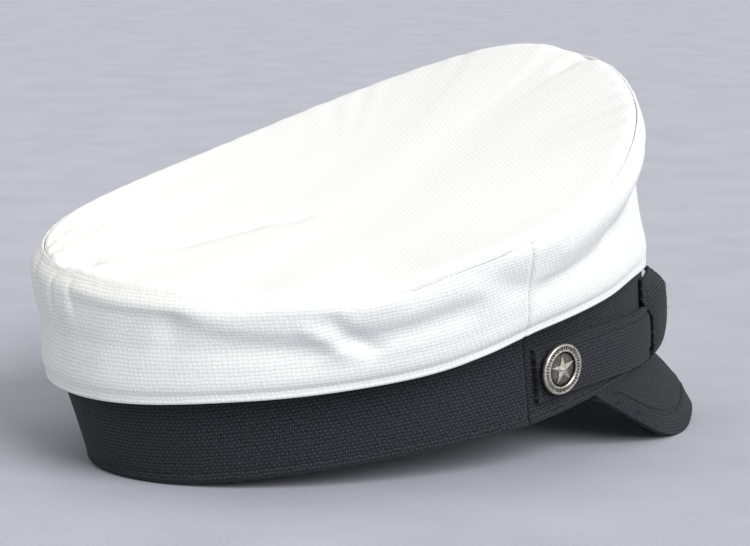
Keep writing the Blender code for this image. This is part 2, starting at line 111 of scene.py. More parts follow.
def maths(tree: bpy.types.NodeTree, operation: str,
          *values: float | bpy.types.NodeSocket) -> bpy.types.NodeSocket:
    """Adds a maths node, whose values are numbers or sockets, and gives its result."""
    made = add_node(tree, "ShaderNodeMath", {"operation": operation})
    for place, value in enumerate(values):
        if isinstance(value, (int, float)):
            made.inputs[place].default_value = value
        else:
            tree.links.new(value, made.inputs[place])
    return made.outputs[0]


def noise(tree: bpy.types.NodeTree, place: bpy.types.NodeSocket, scale: float, detail: float,
          roughness: float = 0.5) -> bpy.types.NodeSocket:
    """Adds a noise texture at a place socket and gives its grey value."""
    return add_node(tree, "ShaderNodeTexNoise", {"Scale": scale, "Detail": detail, "Roughness": roughness},
                    {"Vector": place}).outputs[0]


def blend(tree: bpy.types.NodeTree, share: bpy.types.NodeSocket, low: tuple | bpy.types.NodeSocket,
          high: tuple) -> bpy.types.NodeSocket:
    """Mixes two colours by a share; the low one may come from a socket."""
    made = add_node(tree, "ShaderNodeMix", {"data_type": "RGBA", 7: high}, {0: share})
    if isinstance(low, tuple):
        made.inputs[6].default_value = low
    else:
        tree.links.new(low, made.inputs[6])
    return made.outputs[2]


def new_finish(name: str, **values: float) -> tuple[bpy.types.Material, bpy.types.NodeTree, bpy.types.Node]:
    """Makes a material.

    Args:
        name: Its name.
        values: The shader's inputs by name, with underscores for the spaces.

    Returns:
        The material, its tree and its shader.
    """
    made = bpy.data.materials.new(name)
    made.use_nodes = True
    shader = made.node_tree.nodes["Principled BSDF"]
    for key, value in values.items():
        shader.inputs[key.replace("_", " ")].default_value = value
    return made, made.node_tree, shader


def smooth(table: Table, x: np.ndarray, column: int = 1) -> np.ndarray:
    """Reads a table's column at x with a curve that has no corners.

    Args:
        table: Rows that grow in their first column.
        x: Where to read.
        column: Which column.

    Returns:
        The values, held level past both ends.
    """
    rows = np.array(table, float)
    xs, ys = rows[:, 0], rows[:, column]
    steps = np.diff(ys) / np.diff(xs)
    slopes = np.concatenate([[steps[0] * 0.5], (steps[1:] + steps[:-1]) / 2, [steps[-1] * 0.5]])
    flat = np.concatenate([[True], steps[1:] * steps[:-1] <= 0, [True]])
    slopes = np.where(flat, slopes * 0.35, slopes)
    x = np.clip(np.asarray(x, float), xs[0], xs[-1])
    i = np.clip(np.searchsorted(xs, x, side="right") - 1, 0, len(xs) - 2)
    h = xs[i + 1] - xs[i]
    u = (x - xs[i]) / h
    return ((2 * u ** 3 - 3 * u ** 2 + 1) * ys[i] + (u ** 3 - 2 * u ** 2 + u) * h * slopes[i]
            + (-2 * u ** 3 + 3 * u ** 2) * ys[i + 1] + (u ** 3 - u ** 2) * h * slopes[i + 1])


def rise(x: np.ndarray, start: float, end: float) -> np.ndarray:
    """Goes smoothly from 0 at start to 1 at end."""
    u = np.clip((np.asarray(x, float) - start) / (end - start), 0, 1)
    return u * u * (3 - 2 * u)


def folded(angle: np.ndarray) -> np.ndarray:
    """Folds an angle to the 0 to 180 degrees that the symmetric tables use."""
    return np.abs((np.asarray(angle, float) + 180) % 360 - 180)


def crumple(x: np.ndarray, wave_mm: float, seed: int, turns: int = 5) -> np.ndarray:
    """Gives an uneven wave along a length, between about -1 and 1.

    Args:
        x: Places along the length, in millimetres.
        wave_mm: The middle wave's length.
        seed: Picks the wave.
        turns: How many sines are summed.

    Returns:
        The wave's height at each place.
    """
    chance = np.random.default_rng(seed)
    total = np.zeros_like(np.asarray(x, float))
    for _ in range(turns):
        total += np.sin(2 * math.pi * x / (wave_mm * chance.uniform(0.6, 1.7)) + chance.uniform(0, 6.28))
    return total / turns ** 0.5 * 0.7


# Shares of the side wall's height where its guide rows run
WALL_HEIGHTS = (0.035, 0.09, 0.16, 0.24, 0.32, 0.40, 0.48, 0.56, 0.64, 0.71, 0.78, 0.84, 0.89, 0.93, 0.96)

# How the crown's lower edge rolls over the band: angle from the centre front,
# outward share of lip_overhang, downward share of lip_drop
LIP_ROLL: Table = (
    (0, 0.07, 1.02), (20, 0.09, 1.04), (36, 0.22, 0.50), (50, 0.45, 0.03), (62, 0.70, 0.02),
    (74, 0.86, 0.00), (82, 0.95, 0.08), (91, 1.00, 0.56), (98, 0.99, 0.88), (106, 0.97, 1.00),
    (120, 0.92, 0.92), (138, 0.72, 0.70), (155, 0.42, 0.66), (180, 0.16, 0.72),
)

# Swell of the side wall as shares of wall_bulge: height share between lip and seam,
# then the share at the angles 0, 25, 80 and 160
SWELL_ANGLES = (0, 25, 80, 160)
WALL_SWELL: Table = (
    (0.00, 0.00, 0.00, 0.00, 0.00),
    (0.10, 0.06, 0.06, 0.30, 0.26),
    (0.30, -0.10, -0.26, 0.33, 0.34),
    (0.48, -0.10, -0.36, 0.33, 0.42),
    (0.62, 0.10, -0.14, 0.41, 0.72),
    (0.76, 0.38, 0.34, 0.52, 0.90),
    (0.85, 0.50, 0.52, 0.56, 0.90),
    (0.95, 0.30, 0.30, 0.37, 0.44),
    (1.00, 0.00, 0.00, 0.00, 0.00),
)

# Waves of the top seam: angle, share of seam_wave that it stands higher
SEAM_WAVES: Table = (
    (-180, -0.07), (-150, 0.30), (-127, 0.73), (-106, 0.62), (-85, 0.28), (-66, 0.13),
    (-48, 0.20), (-33, 0.58), (-20, 1.00), (-9, 0.85), (0, 0.20), (12, 0.27),
    (27, -0.05), (41, 0.25), (60, -0.57), (75, -0.23), (90, 0.53), (98, 0.42),
    (111, -0.53), (126, 0.25), (137, -0.22), (149, 0.18), (167, -0.20), (180, -0.07),
)

# Soft folds of the side wall: from angle and height share to angle and height share,
# width in millimetres above and below the fold's line, depth in millimetres
WALL_FOLDS: Table = (
    (172, 0.80, 148, 0.74, 3.4, 9.0, 2.0),
    (148, 0.74, 121, 0.42, 4.0, 8.0, 1.5),
    (119, 0.74, 111, 0.38, 3.0, 3.4, 1.5),
    (123, 0.66, 116, 0.40, 2.6, 3.0, -0.9),
    (114, 0.54, 96, 0.54, 4.6, 6.5, 1.6),
    (105, 0.95, 90, 0.95, 3.0, 5.5, 2.4),
    (93, 0.84, 86, 0.56, 5.0, 5.0, 1.2),
    (80, 0.44, 60, 0.52, 4.0, 6.5, 1.8),
    (60, 0.52, 36, 0.62, 5.0, 7.0, 1.8),
    (76, 0.74, 44, 0.86, 4.0, 4.0, -0.8),
    (197, 0.97, 190, 0.70, 2.2, 3.4, 1.3),
    (183, 0.99, 182, 0.66, 1.6, 1.8, 1.1),
    (176, 0.97, 174, 0.74, 1.5, 1.8, 0.9),
    (214, 0.60, 246, 0.50, 5.0, 7.0, 1.6),
    (262, 0.72, 285, 0.50, 5.0, 6.0, 1.5),
    (302, 0.50, 334, 0.60, 5.0, 7.0, 1.6),
    (350, 0.66, 12, 0.62, 6.0, 8.0, 1.4),
)

# Folds of the top panel: from angle and share of the way out to angle and share,
# width in millimetres, depth in millimetres
TOP_FOLDS: Table = (
    (-161, 1.00, -153, 0.955, 2.0, 0.9),
    (-153, 0.955, -143, 0.94, 2.2, 0.7),
    (-166, 0.985, -154, 0.90, 2.0, 1.0),
    (-154, 0.90, -140, 0.83, 2.6, 0.6),
    (-160, 0.95, -149, 0.90, 2.2, -0.7),
    (178, 0.97, -170, 0.86, 3.0, 0.7),
    (-174, 1.00, -178, 0.93, 5.5, 2.6),
    (186, 0.86, 186, 0.56, 6.0, 0.5),
    (-175, 0.56, -173, 0.31, 4.5, 0.7),
    (-173, 0.31, -198, 0.17, 4.5, 0.6),
    (-198, 0.17, -260, 0.16, 6.0, 0.4),
    (6, 1.00, 3, 0.93, 4.0, 1.6),
    (108, 0.99, 118, 0.95, 4.0, 0.6),
)

# The peak's edge: share from the centre to the root, sideways share of the band's half
# width, forward share between the band's middle and the tip, and height as a share of
# the band's lift at its centre front
PEAK_EDGE: Table = (
    (0.00, 0.000, 1.000, 0.300),
    (0.22, 0.273, 0.962, 0.210),
    (0.42, 0.446, 0.906, 0.136),
    (0.58, 0.594, 0.824, 0.000),
    (0.72, 0.707, 0.735, 0.010),
    (0.84, 0.795, 0.641, 0.138),
    (0.93, 0.845, 0.538, 0.365),
    (1.00, 0.886, 0.401, 0.700),
)


@dataclass(frozen=True)
class CapForm:
    """The cap's soft form: its ovals, its tilts and the folds of its cloth."""

    head_length: float = 213.4 * MM
    head_width: float = 149.6 * MM
    band_wall: float = 3.0 * MM
    band_height: float = 37.5 * MM
    band_front_gain: float = 2.7 * MM
    band_flare: float = 4.0 * MM
    band_slump: float = 1.6 * MM
    band_egg: float = -0.04
    rest_tilt: float = 8.54
    rest_flat: float = 8.7 * MM
    hem_sag: float = 1.6 * MM
    top_length: float = 210.8 * MM
    top_width: float = 223.4 * MM
    top_back: float = 15.9 * MM
    top_height_mid: float = 94.7 * MM
    top_tilt: float = 20.06
    top_sag: float = 17.2 * MM
    top_lean: float = 5.4 * MM
    top_dome: float = 1.4 * MM
    top_egg: float = -0.07
    lip_overhang: float = 13.0 * MM
    lip_drop: float = 6.3 * MM
    wall_bulge: float = 5.4 * MM
    seam_wave: float = 3.0 * MM
    strap_above_hem: float = 1.0 * MM
    strap_end_rise: float = 7.1 * MM
    strap_end_angle: float = 78.0
    strap_width: float = 20.0 * MM
    strap_wall: float = 2.0 * MM
    strap_slack: float = 0.6 * MM
    loop_angle: float = 25.5

    def shift(self) -> np.ndarray:
        """Gives how far the frame stands from this form's own origin."""
        low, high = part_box("band_rear")
        back = (self.head_length / 2 + self.band_wall + self.band_flare
                + self.band_height * math.sin(math.radians(self.rest_tilt)) + self.band_slump)
        return np.array([(low.x + high.x) / 2, high.y - back, 0.0])

    def oval(self, angle: np.ndarray, length: float, width: float, back: float,
             egg: float) -> tuple[np.ndarray, np.ndarray]:
        """Gives x and y on an oval of that length and width, centred that far back."""
        a = np.radians(np.asarray(angle, float))
        return -width / 2 * np.sin(a) * (1 - egg * np.cos(a)), back - length / 2 * np.cos(a)

    def outward(self, angle: np.ndarray, *sizes: float) -> tuple[np.ndarray, np.ndarray]:
        """Gives the level outward direction of an oval."""
        xa, ya = self.oval(np.asarray(angle) + 0.5, *sizes)
        xb, yb = self.oval(np.asarray(angle) - 0.5, *sizes)
        nx, ny = -(ya - yb), xa - xb
        size = np.hypot(nx, ny)
        return nx / size, ny / size

    def outset(self, angle: np.ndarray, sizes: tuple[float, ...], out: np.ndarray) -> np.ndarray:
        """Gives steps of that length, level and outward from an oval of those sizes."""
        nx, ny = self.outward(angle, *sizes)
        return np.stack(np.broadcast_arrays(nx * out, ny * out, 0.0 * nx), -1)

    def band_sizes(self, level: float) -> tuple[float, float, float, float]:
        """Gives the band's outer oval at a level, from 0 at its hem to 1 at its top."""
        grow = 2 * self.band_wall + 2 * self.band_flare * level
        lean = self.band_height * math.sin(math.radians(self.rest_tilt)) + self.band_slump
        return self.head_length + grow, self.head_width + grow, lean * level, self.band_egg

    def lift(self, y: np.ndarray) -> np.ndarray:
        """Gives the height of the band's hem above the floor, flat at its back."""
        soft = 4 * MM
        flat_from = self.head_length / 2 + self.band_wall - self.rest_flat
        up = soft * np.logaddexp(0, (flat_from - np.asarray(y, float)) / soft) - 0.3 * soft
        sag = self.hem_sag * np.exp(-((np.asarray(y, float) / self.head_length + 0.08) / 0.17) ** 2)
        return math.tan(math.radians(self.rest_tilt)) * np.maximum(0, up) - sag

    def band_point(self, angle: np.ndarray, level: float, out: float = 0.0,
                   up: float = 0.0) -> np.ndarray:
        """Gives places on the band's outer face, or that far out from it and up."""
        sizes = self.band_sizes(level)
        x, y = self.oval(angle, *sizes)
        nx, ny = self.outward(angle, *sizes)
        hem = self.oval(angle, *self.band_sizes(0.0))[1]
        tall = self.band_height - self.band_front_gain * hem / (self.head_length / 2)
        z = self.lift(hem) + tall * level + up
        return np.stack(np.broadcast_arrays(x + nx * out, y + ny * out, z), -1)

    def band_tall(self, angle: np.ndarray) -> np.ndarray:
        """Gives the band's slant height at each angle."""
        return np.linalg.norm(self.band_point(angle, 1.0) - self.band_point(angle, 0.0), axis=-1)

    def above_hem(self, angle: np.ndarray, distance: np.ndarray) -> np.ndarray:
        """Gives places on the band's face at a distance up from its hem."""
        angle = np.atleast_1d(np.asarray(angle, float))
        share = np.atleast_1d(distance) / self.band_tall(angle)
        low, high = self.band_point(angle, 0.0), self.band_point(angle, 1.0)
        return low + (high - low) * share[:, None]

    def strap_foot(self, angle: np.ndarray) -> np.ndarray:
        """Gives how far above the band's hem the strap's lower edge runs."""
        climb = rise(np.abs(angle), self.loop_angle + 5, self.strap_end_angle)
        return self.strap_above_hem + self.strap_end_rise * climb

    def strap_off(self, angle: np.ndarray) -> np.ndarray:
        """Gives how far the strap stands off the band, eased away toward its ends."""
        return self.strap_slack * (1 - rise(np.abs(angle), self.loop_angle + 5, 2 * self.loop_angle + 5))

    def top_height(self, x: np.ndarray, y: np.ndarray) -> np.ndarray:
        """Gives the top panel's height: tilted up to the front, sagging and leaning."""
        sag = self.top_sag * (y / (self.top_length / 2)) ** 2
        return (self.top_height_mid - math.tan(math.radians(self.top_tilt)) * y + sag
                + self.top_lean * x / (self.top_width / 2))

    def top_sizes(self) -> tuple[float, float, float, float]:
        """Gives the oval of the seam around the top panel."""
        return self.top_length, self.top_width, self.top_back, self.top_egg

    def seam_point(self, angle: np.ndarray) -> np.ndarray:
        """Gives places on the seam around the top panel, with its waves and puckers."""
        x, y = self.oval(angle, *self.top_sizes())
        turned = (np.asarray(angle, float) + 180) % 360 - 180
        wave = self.seam_wave * smooth(SEAM_WAVES, turned)
        pucker = 0.22 * MM * crumple(turned * CROWN_MM_PER_DEGREE, 9.0, 4)
        wave = wave + pucker * np.sin(np.radians(turned / 2 + 90)) ** 2
        return np.stack([x, y, self.top_height(x, y) + wave], -1)

    def lip_point(self, angle: np.ndarray, share: float = 1.0, up: float = 0.0) -> np.ndarray:
        """Gives the crown's rolled lower edge, or a share of the way out to it."""
        a = folded(angle)
        out = self.lip_overhang * smooth(LIP_ROLL, a, 1) * share
        down = self.lip_drop * smooth(LIP_ROLL, a, 2)
        return self.band_point(angle, 1.0, out, up - down)

    def wall_fold(self, angle: np.ndarray, height: float) -> np.ndarray:
        """Gives how far the wall's folds push places in, at one height share."""
        turn, tall = 1.92, 42.0          # the wall's millimetres for each degree, and its height
        depth = np.zeros_like(angle)
        for a0, h0, a1, h1, above, below, deep in WALL_FOLDS:
            span = (a1 - a0 + 180) % 360 - 180
            px = ((angle - a0 + 180) % 360 - 180) * turn
            py = (height - h0) * tall
            dx, dy = span * turn, (h1 - h0) * tall
            s = np.clip((px * dx + py * dy) / (dx * dx + dy * dy), 0, 1)
            ax, ay = px - s * dx, py - s * dy
            width = np.where(ay > 0, above, below)
            depth = depth + deep * MM * np.exp(-(ax / ((above + below) / 2)) ** 2 - (ay / width) ** 2)
        return depth

    def wall_point(self, angle: np.ndarray, height: float) -> np.ndarray:
        """Gives the crown's side wall between its lip, at 0, and the top seam, at 1."""
        angle = np.asarray(angle, float)
        low, high = self.lip_point(angle, 1.0, 1.2 * MM), self.seam_point(angle)
        place = low + (high - low) * height
        column = [float(smooth(WALL_SWELL, np.array([height]), i + 1)[0]) for i in range(4)]
        swell = smooth(tuple(zip(SWELL_ANGLES, column)), folded(angle)) * self.wall_bulge
        fade = math.sin(math.pi * min(1.0, height * 1.02)) ** 0.5 if height < 0.98 else 0.3
        slack = 0.35 * MM * crumple(angle * CROWN_MM_PER_DEGREE + height * 14, 34.0, 9)
        slack = slack * math.sin(math.pi * height)
        push = swell - self.wall_fold(angle, height) * fade + slack
        return place + self.outset(angle, self.top_sizes(), push)

    def edge_point(self, share: np.ndarray, reach: float) -> np.ndarray:
        """Gives the peak's outer edge; share is -1 to 1 from root to root."""
        s = np.abs(share)
        x = smooth(PEAK_EDGE, s, 1) * (self.head_width / 2 + self.band_wall) * -np.sign(share)
        y = -smooth(PEAK_EDGE, s, 2) * (self.head_length / 2 + self.band_wall + reach)
        z = smooth(PEAK_EDGE, s, 3) * self.lift(-self.head_length / 2 - self.band_wall)
        return np.stack([x, y, z], -1)


FORM = CapForm()
SHIFT = FORM.shift()


def along(points: np.ndarray) -> np.ndarray:
    """Gives the length travelled along a row of points, in millimetres."""
    steps = np.linalg.norm(np.diff(points, axis=0), axis=-1)
    return np.concatenate([[0.0], np.cumsum(steps)]) / MM


def spline_rows(rows: np.ndarray, count: int) -> np.ndarray:
    """Refines rows of points with a smooth curve through them.

    Args:
        rows: Guide rows, as rows by columns by three.
        count: How many rows to give for each span between two guides.

    Returns:
        The finer rows, the guides among them.
    """
    padded = np.concatenate([2 * rows[:1] - rows[1:2], rows, 2 * rows[-1:] - rows[-2:-1]])
    fine = []
    for i in range(1, len(padded) - 2):
        p0, p1, p2, p3 = padded[i - 1:i + 3]
        for u in np.arange(count) / count:
            fine.append(0.5 * (2 * p1 + (p2 - p0) * u + (2 * p0 - 5 * p1 + 4 * p2 - p3) * u ** 2
                               + (3 * p1 - p0 - 3 * p2 + p3) * u ** 3))
    fine.append(rows[-1])
    return np.array(fine)


def new_object(name: str, data: bpy.types.ID) -> bpy.types.Object:
    """Makes an object for a mesh, lamp or camera and puts it in the scene."""
    made = bpy.data.objects.new(name, data)
    bpy.context.scene.collection.objects.link(made)
    return made


def sheet(name: str, rows: np.ndarray, uv: np.ndarray, ring: bool = False,
          tip: np.ndarray | None = None, flip: bool = False) -> bpy.types.Object:
    """Makes a sheet of quads through a grid of points, with its weave map.

    Args:
        name: The piece's name.
        rows: Points as rows by columns by three, in this form's own frame.
        uv: Millimetres along and across the cloth for each point; a ring has one more
            column here than in rows, for its closing face.
        ring: Whether the columns close on themselves.
        tip: A last point that closes the last row, if any.
        flip: Whether the faces are turned over.

    Returns:
        The object, with smooth faces.
    """
    count, columns = rows.shape[:2]
    places = rows.reshape(-1, 3) + SHIFT
    around = columns if ring else columns - 1
    i, j = np.meshgrid(np.arange(count - 1), np.arange(around), indexing="ij")
    k = (j + 1) % columns
    quads = np.stack([i * columns + k, i * columns + j, (i + 1) * columns + j, (i + 1) * columns + k], -1)
    corners = np.stack([uv[i, j + 1], uv[i, j], uv[i + 1, j], uv[i + 1, j + 1]], -2)
    quads, corners = quads.reshape(-1, 4), corners.reshape(-1, 4, 2)
    faces = [tuple(q) for q in quads.tolist()]
    spots = [corners.reshape(-1, 2)]
    if tip is not None:
        places = np.concatenate([places, (tip + SHIFT)[None]])
        last, middle = (count - 1) * columns, len(places) - 1
        for j in range(columns):
            faces.append((last + (j + 1) % columns, last + j, middle))
            spots.append(np.array([uv[-1, j + 1], uv[-1, j], tip[:2] / MM]))
    if flip:
        faces = [f[::-1] for f in faces]
        first = [s[::-1] for s in np.split(spots[0], len(quads))]
        spots = [np.concatenate(first), *[s[::-1] for s in spots[1:]]]
    mesh = bpy.data.meshes.new(name)
    mesh.from_pydata(places.tolist(), [], faces)
    layer = mesh.uv_layers.new(name=WEAVE_MAP)
    layer.data.foreach_set("uv", np.concatenate(spots).astype(np.float32).ravel())
    mesh.polygons.foreach_set("use_smooth", np.ones(len(faces), bool))
    return new_object(name, mesh)


def give_wall(piece: bpy.types.Object, wall: float, rounding: float = 0.0) -> None:
    """Gives a sheet its wall behind its outer face, and rounds its edges.

    Args:
        piece: The sheet.
        wall: Its thickness.
        rounding: Radius along its rim, none if zero.
    """
    tool = piece.modifiers.new("wall", "SOLIDIFY")
    tool.thickness, tool.offset = wall, -1.0
    if rounding:
        soft = piece.modifiers.new("rim", "BEVEL")
        soft.width, soft.segments, soft.limit_method = rounding, 3, "ANGLE"
        soft.angle_limit = math.radians(50)


def apply_all(piece: bpy.types.Object) -> None:
    """Replaces the piece's mesh by what its modifiers make of it."""
    graph = bpy.context.evaluated_depsgraph_get()
    baked = bpy.data.meshes.new_from_object(piece.evaluated_get(graph))
    piece.modifiers.clear()
    piece.data = baked


@dataclass(frozen=True)
class Canvas:
    """Plain-weave canvas: coarse spun yarn, matte, with a little lint.

    Rows of raised yarn crossings lie along the cloth, each leaning a little, and the hollows between them are
    painted darker, as the shade that falls in them.
    """

    name: str
    yarn: str
    # colour of the painted shade in the hollows between the crossings
    hollow_shade: str
    row_mm: float              # row spacing
    pick_mm: float             # spacing of the crossings along a row
    slant: float               # how far each row's crossings lean
    relief_mm: float
    # how far the lowest places go toward the painted shade colour
    contrast: float
    sheen: float

    @cache
    def material(self) -> bpy.types.Material:
        """Makes the cloth's material, once."""
        made, tree, shader = new_finish(self.name, Roughness=0.92, Specular_IOR_Level=0.22,
                                        Sheen_Weight=self.sheen, Sheen_Roughness=0.55)
        cloth = add_node(tree, "ShaderNodeUVMap", {"uv_map": WEAVE_MAP}).outputs[0]
        # The rows wander by up to half a millimetre or so, over some six millimetres.
        lay = add_node(tree, "ShaderNodeTexNoise", {"Scale": 0.16, "Detail": 2.0}, {"Vector": cloth})
        shaken = add_node(tree, "ShaderNodeVectorMath", {"operation": "MULTIPLY_ADD", 1: (1.1, 1.1, 0.0)},
                          {0: lay.outputs["Color"], 2: cloth}).outputs[0]
        along_row, across_rows, _ = add_node(tree, "ShaderNodeSeparateXYZ", {}, {0: shaken}).outputs
        rows = maths(tree, "MULTIPLY", across_rows, math.pi / self.row_mm)
        lean = maths(tree, "MULTIPLY_ADD", across_rows, self.slant, along_row)
        picks = maths(tree, "MULTIPLY", lean, math.pi / self.pick_mm)
        cross = maths(tree, "MULTIPLY", maths(tree, "COSINE", rows), maths(tree, "COSINE", picks))
        # Yarns that pass over stand high; those that pass under still bulge a little.
        over = maths(tree, "MAXIMUM", cross, 0.0)
        knots = maths(tree, "MAXIMUM", over, maths(tree, "MULTIPLY", cross, -0.5))
        stretch = add_node(tree, "ShaderNodeMapping", {"Scale": (0.6, 1.0 / self.row_mm, 1.0)}, {0: shaken})
        slub = noise(tree, stretch.outputs[0], 1.0, 3.0, 0.7)
        height = maths(tree, "ADD", knots, maths(tree, "MULTIPLY_ADD", slub, 0.9, -0.35))
        # Painted shade: the lower a place in the weave, the nearer its colour goes to the hollow colour.
        tone = add_node(tree, "ShaderNodeMapRange", {"From Min": 0.0, "From Max": 0.9,
                                                     "To Min": 1.0 - self.contrast, "To Max": 1.0},
                        {0: height})
        colour = blend(tree, tone.outputs[0], linear(self.hollow_shade), linear(self.yarn))
        tree.links.new(colour, shader.inputs["Base Color"])
        bump = add_node(tree, "ShaderNodeBump", {"Strength": 0.8, "Distance": self.relief_mm * MM},
                        {"Height": height})
        tree.links.new(bump.outputs[0], shader.inputs["Normal"])
        return made


@dataclass(frozen=True)
class Thread:
    """Spun sewing thread: matte, with a fine twist whose small light flecks are painted highlight."""

    name: str
    light: str
    dark: str

    @cache
    def material(self) -> bpy.types.Material:
        """Makes the thread's material, once."""
        made, tree, shader = new_finish(self.name, Roughness=0.7, Specular_IOR_Level=0.3)
        place = add_node(tree, "ShaderNodeTexCoord").outputs["Object"]
        # The real twist is 0.3 mm, a third of a pixel, so it is drawn 0.6 mm long.
        twist = noise(tree, place, 1.0 / (0.6 * MM), 2.0)
        # Painted highlight: light flecks along the twist, on darker thread.
        colour = blend(tree, twist, linear(self.dark), linear(self.light))
        tree.links.new(colour, shader.inputs["Base Color"])
        return made


@dataclass(frozen=True)
class AntiqueSilver:
    """Cast zinc with an antique silver plate: worn bright on top, blackened in hollows."""

    name: str = "antique_silver_plate"
    bright: str = "e2ddd2"
    dull: str = "b4aea3"
    black: str = "161413"

    @cache
    def material(self) -> bpy.types.Material:
        """Makes the plate's material, once."""
        made, tree, shader = new_finish(self.name, Metallic=1.0)
        place = add_node(tree, "ShaderNodeTexCoord").outputs["Object"]
        wear = noise(tree, place, 1.0 / (1.4 * MM), 4.0, 0.65)
        worn = add_node(tree, "ShaderNodeMapRange", {"From Min": 0.38, "From Max": 0.62}, {0: wear})
        metal = blend(tree, worn.outputs[0], linear(self.dull), linear(self.bright))
        soot = add_node(tree, "ShaderNodeAttribute", {"attribute_name": "soot"}).outputs["Fac"]
        tree.links.new(blend(tree, soot, metal, linear(self.black)), shader.inputs["Base Color"])
        grain = noise(tree, place, 1.0 / (0.35 * MM), 3.0)
        bump = add_node(tree, "ShaderNodeBump", {"Strength": 0.35, "Distance": 0.06 * MM}, {"Height": grain})
        tree.links.new(bump.outputs[0], shader.inputs["Normal"])
        rough = add_node(tree, "ShaderNodeMapRange", {"To Min": 0.3, "To Max": 0.48}, {0: wear})
        tree.links.new(rough.outputs[0], shader.inputs["Roughness"])
        return made


# White cotton duck of the crown: its raised crossings show as a lattice of soft dots, with painted shade in
# the hollows between them.
WHITE_DUCK = Canvas("white_cotton_duck", "fbfbf9", "d6d7d8", 1.45, 0.87, 0.25, 0.12, 0.85, 0.0)
# The top panel is the same cloth, laid the other way; its weave is washed out by the light.
TOP_DUCK = Canvas("white_cotton_duck_top", "f8f8f7", "e6e7e8", 1.45, 0.87, 0.25, 0.06, 0.6, 0.0)
# Black canvas of band, strap, loops and peak, with a slightly finer lattice and near-black painted shade in
# its hollows.
BLACK_CANVAS = Canvas("black_cotton_canvas", "393b42", "090a0d", 1.3, 0.87, 0.22, 0.16, 1.0, 0.04)
# Black cotton thread of the hem, strap and peak, a little lighter than their cloth, with painted highlight
# flecks along its twist.
BLACK_THREAD = Thread("black_sewing_thread", "44464b", "0e0e10")
# The belt loops' front-edge stitches are painted pale grey, as the highlight where light catches the loops'
# rolled front edges.
LOOP_EDGE_HIGHLIGHT_THREAD = Thread("loop_thread_painted_highlight", "8a8b8c", "2b2c2f")
# Plate of the two star buttons.
SILVER = AntiqueSilver()


def dress(piece: bpy.types.Object, finish: bpy.types.Material, slot: Slot, *nodes: str) -> None:
    """Gives a piece its finish and its body, and hides the CAD nodes it stands for.

    Args:
        piece: The finished piece.
        finish: Its material.
        slot: Not used.
        nodes: CAD nodes that it replaces.
    """
    piece.data.materials.clear()
    piece.data.materials.append(finish)
    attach(piece, BODY)
    if nodes:
        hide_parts(*nodes)
    count = sum(len(p.vertices) - 2 for p in piece.data.polygons)
    LOG.info("%s: %d triangles before its modifiers, %s", piece.name, count, finish.name)


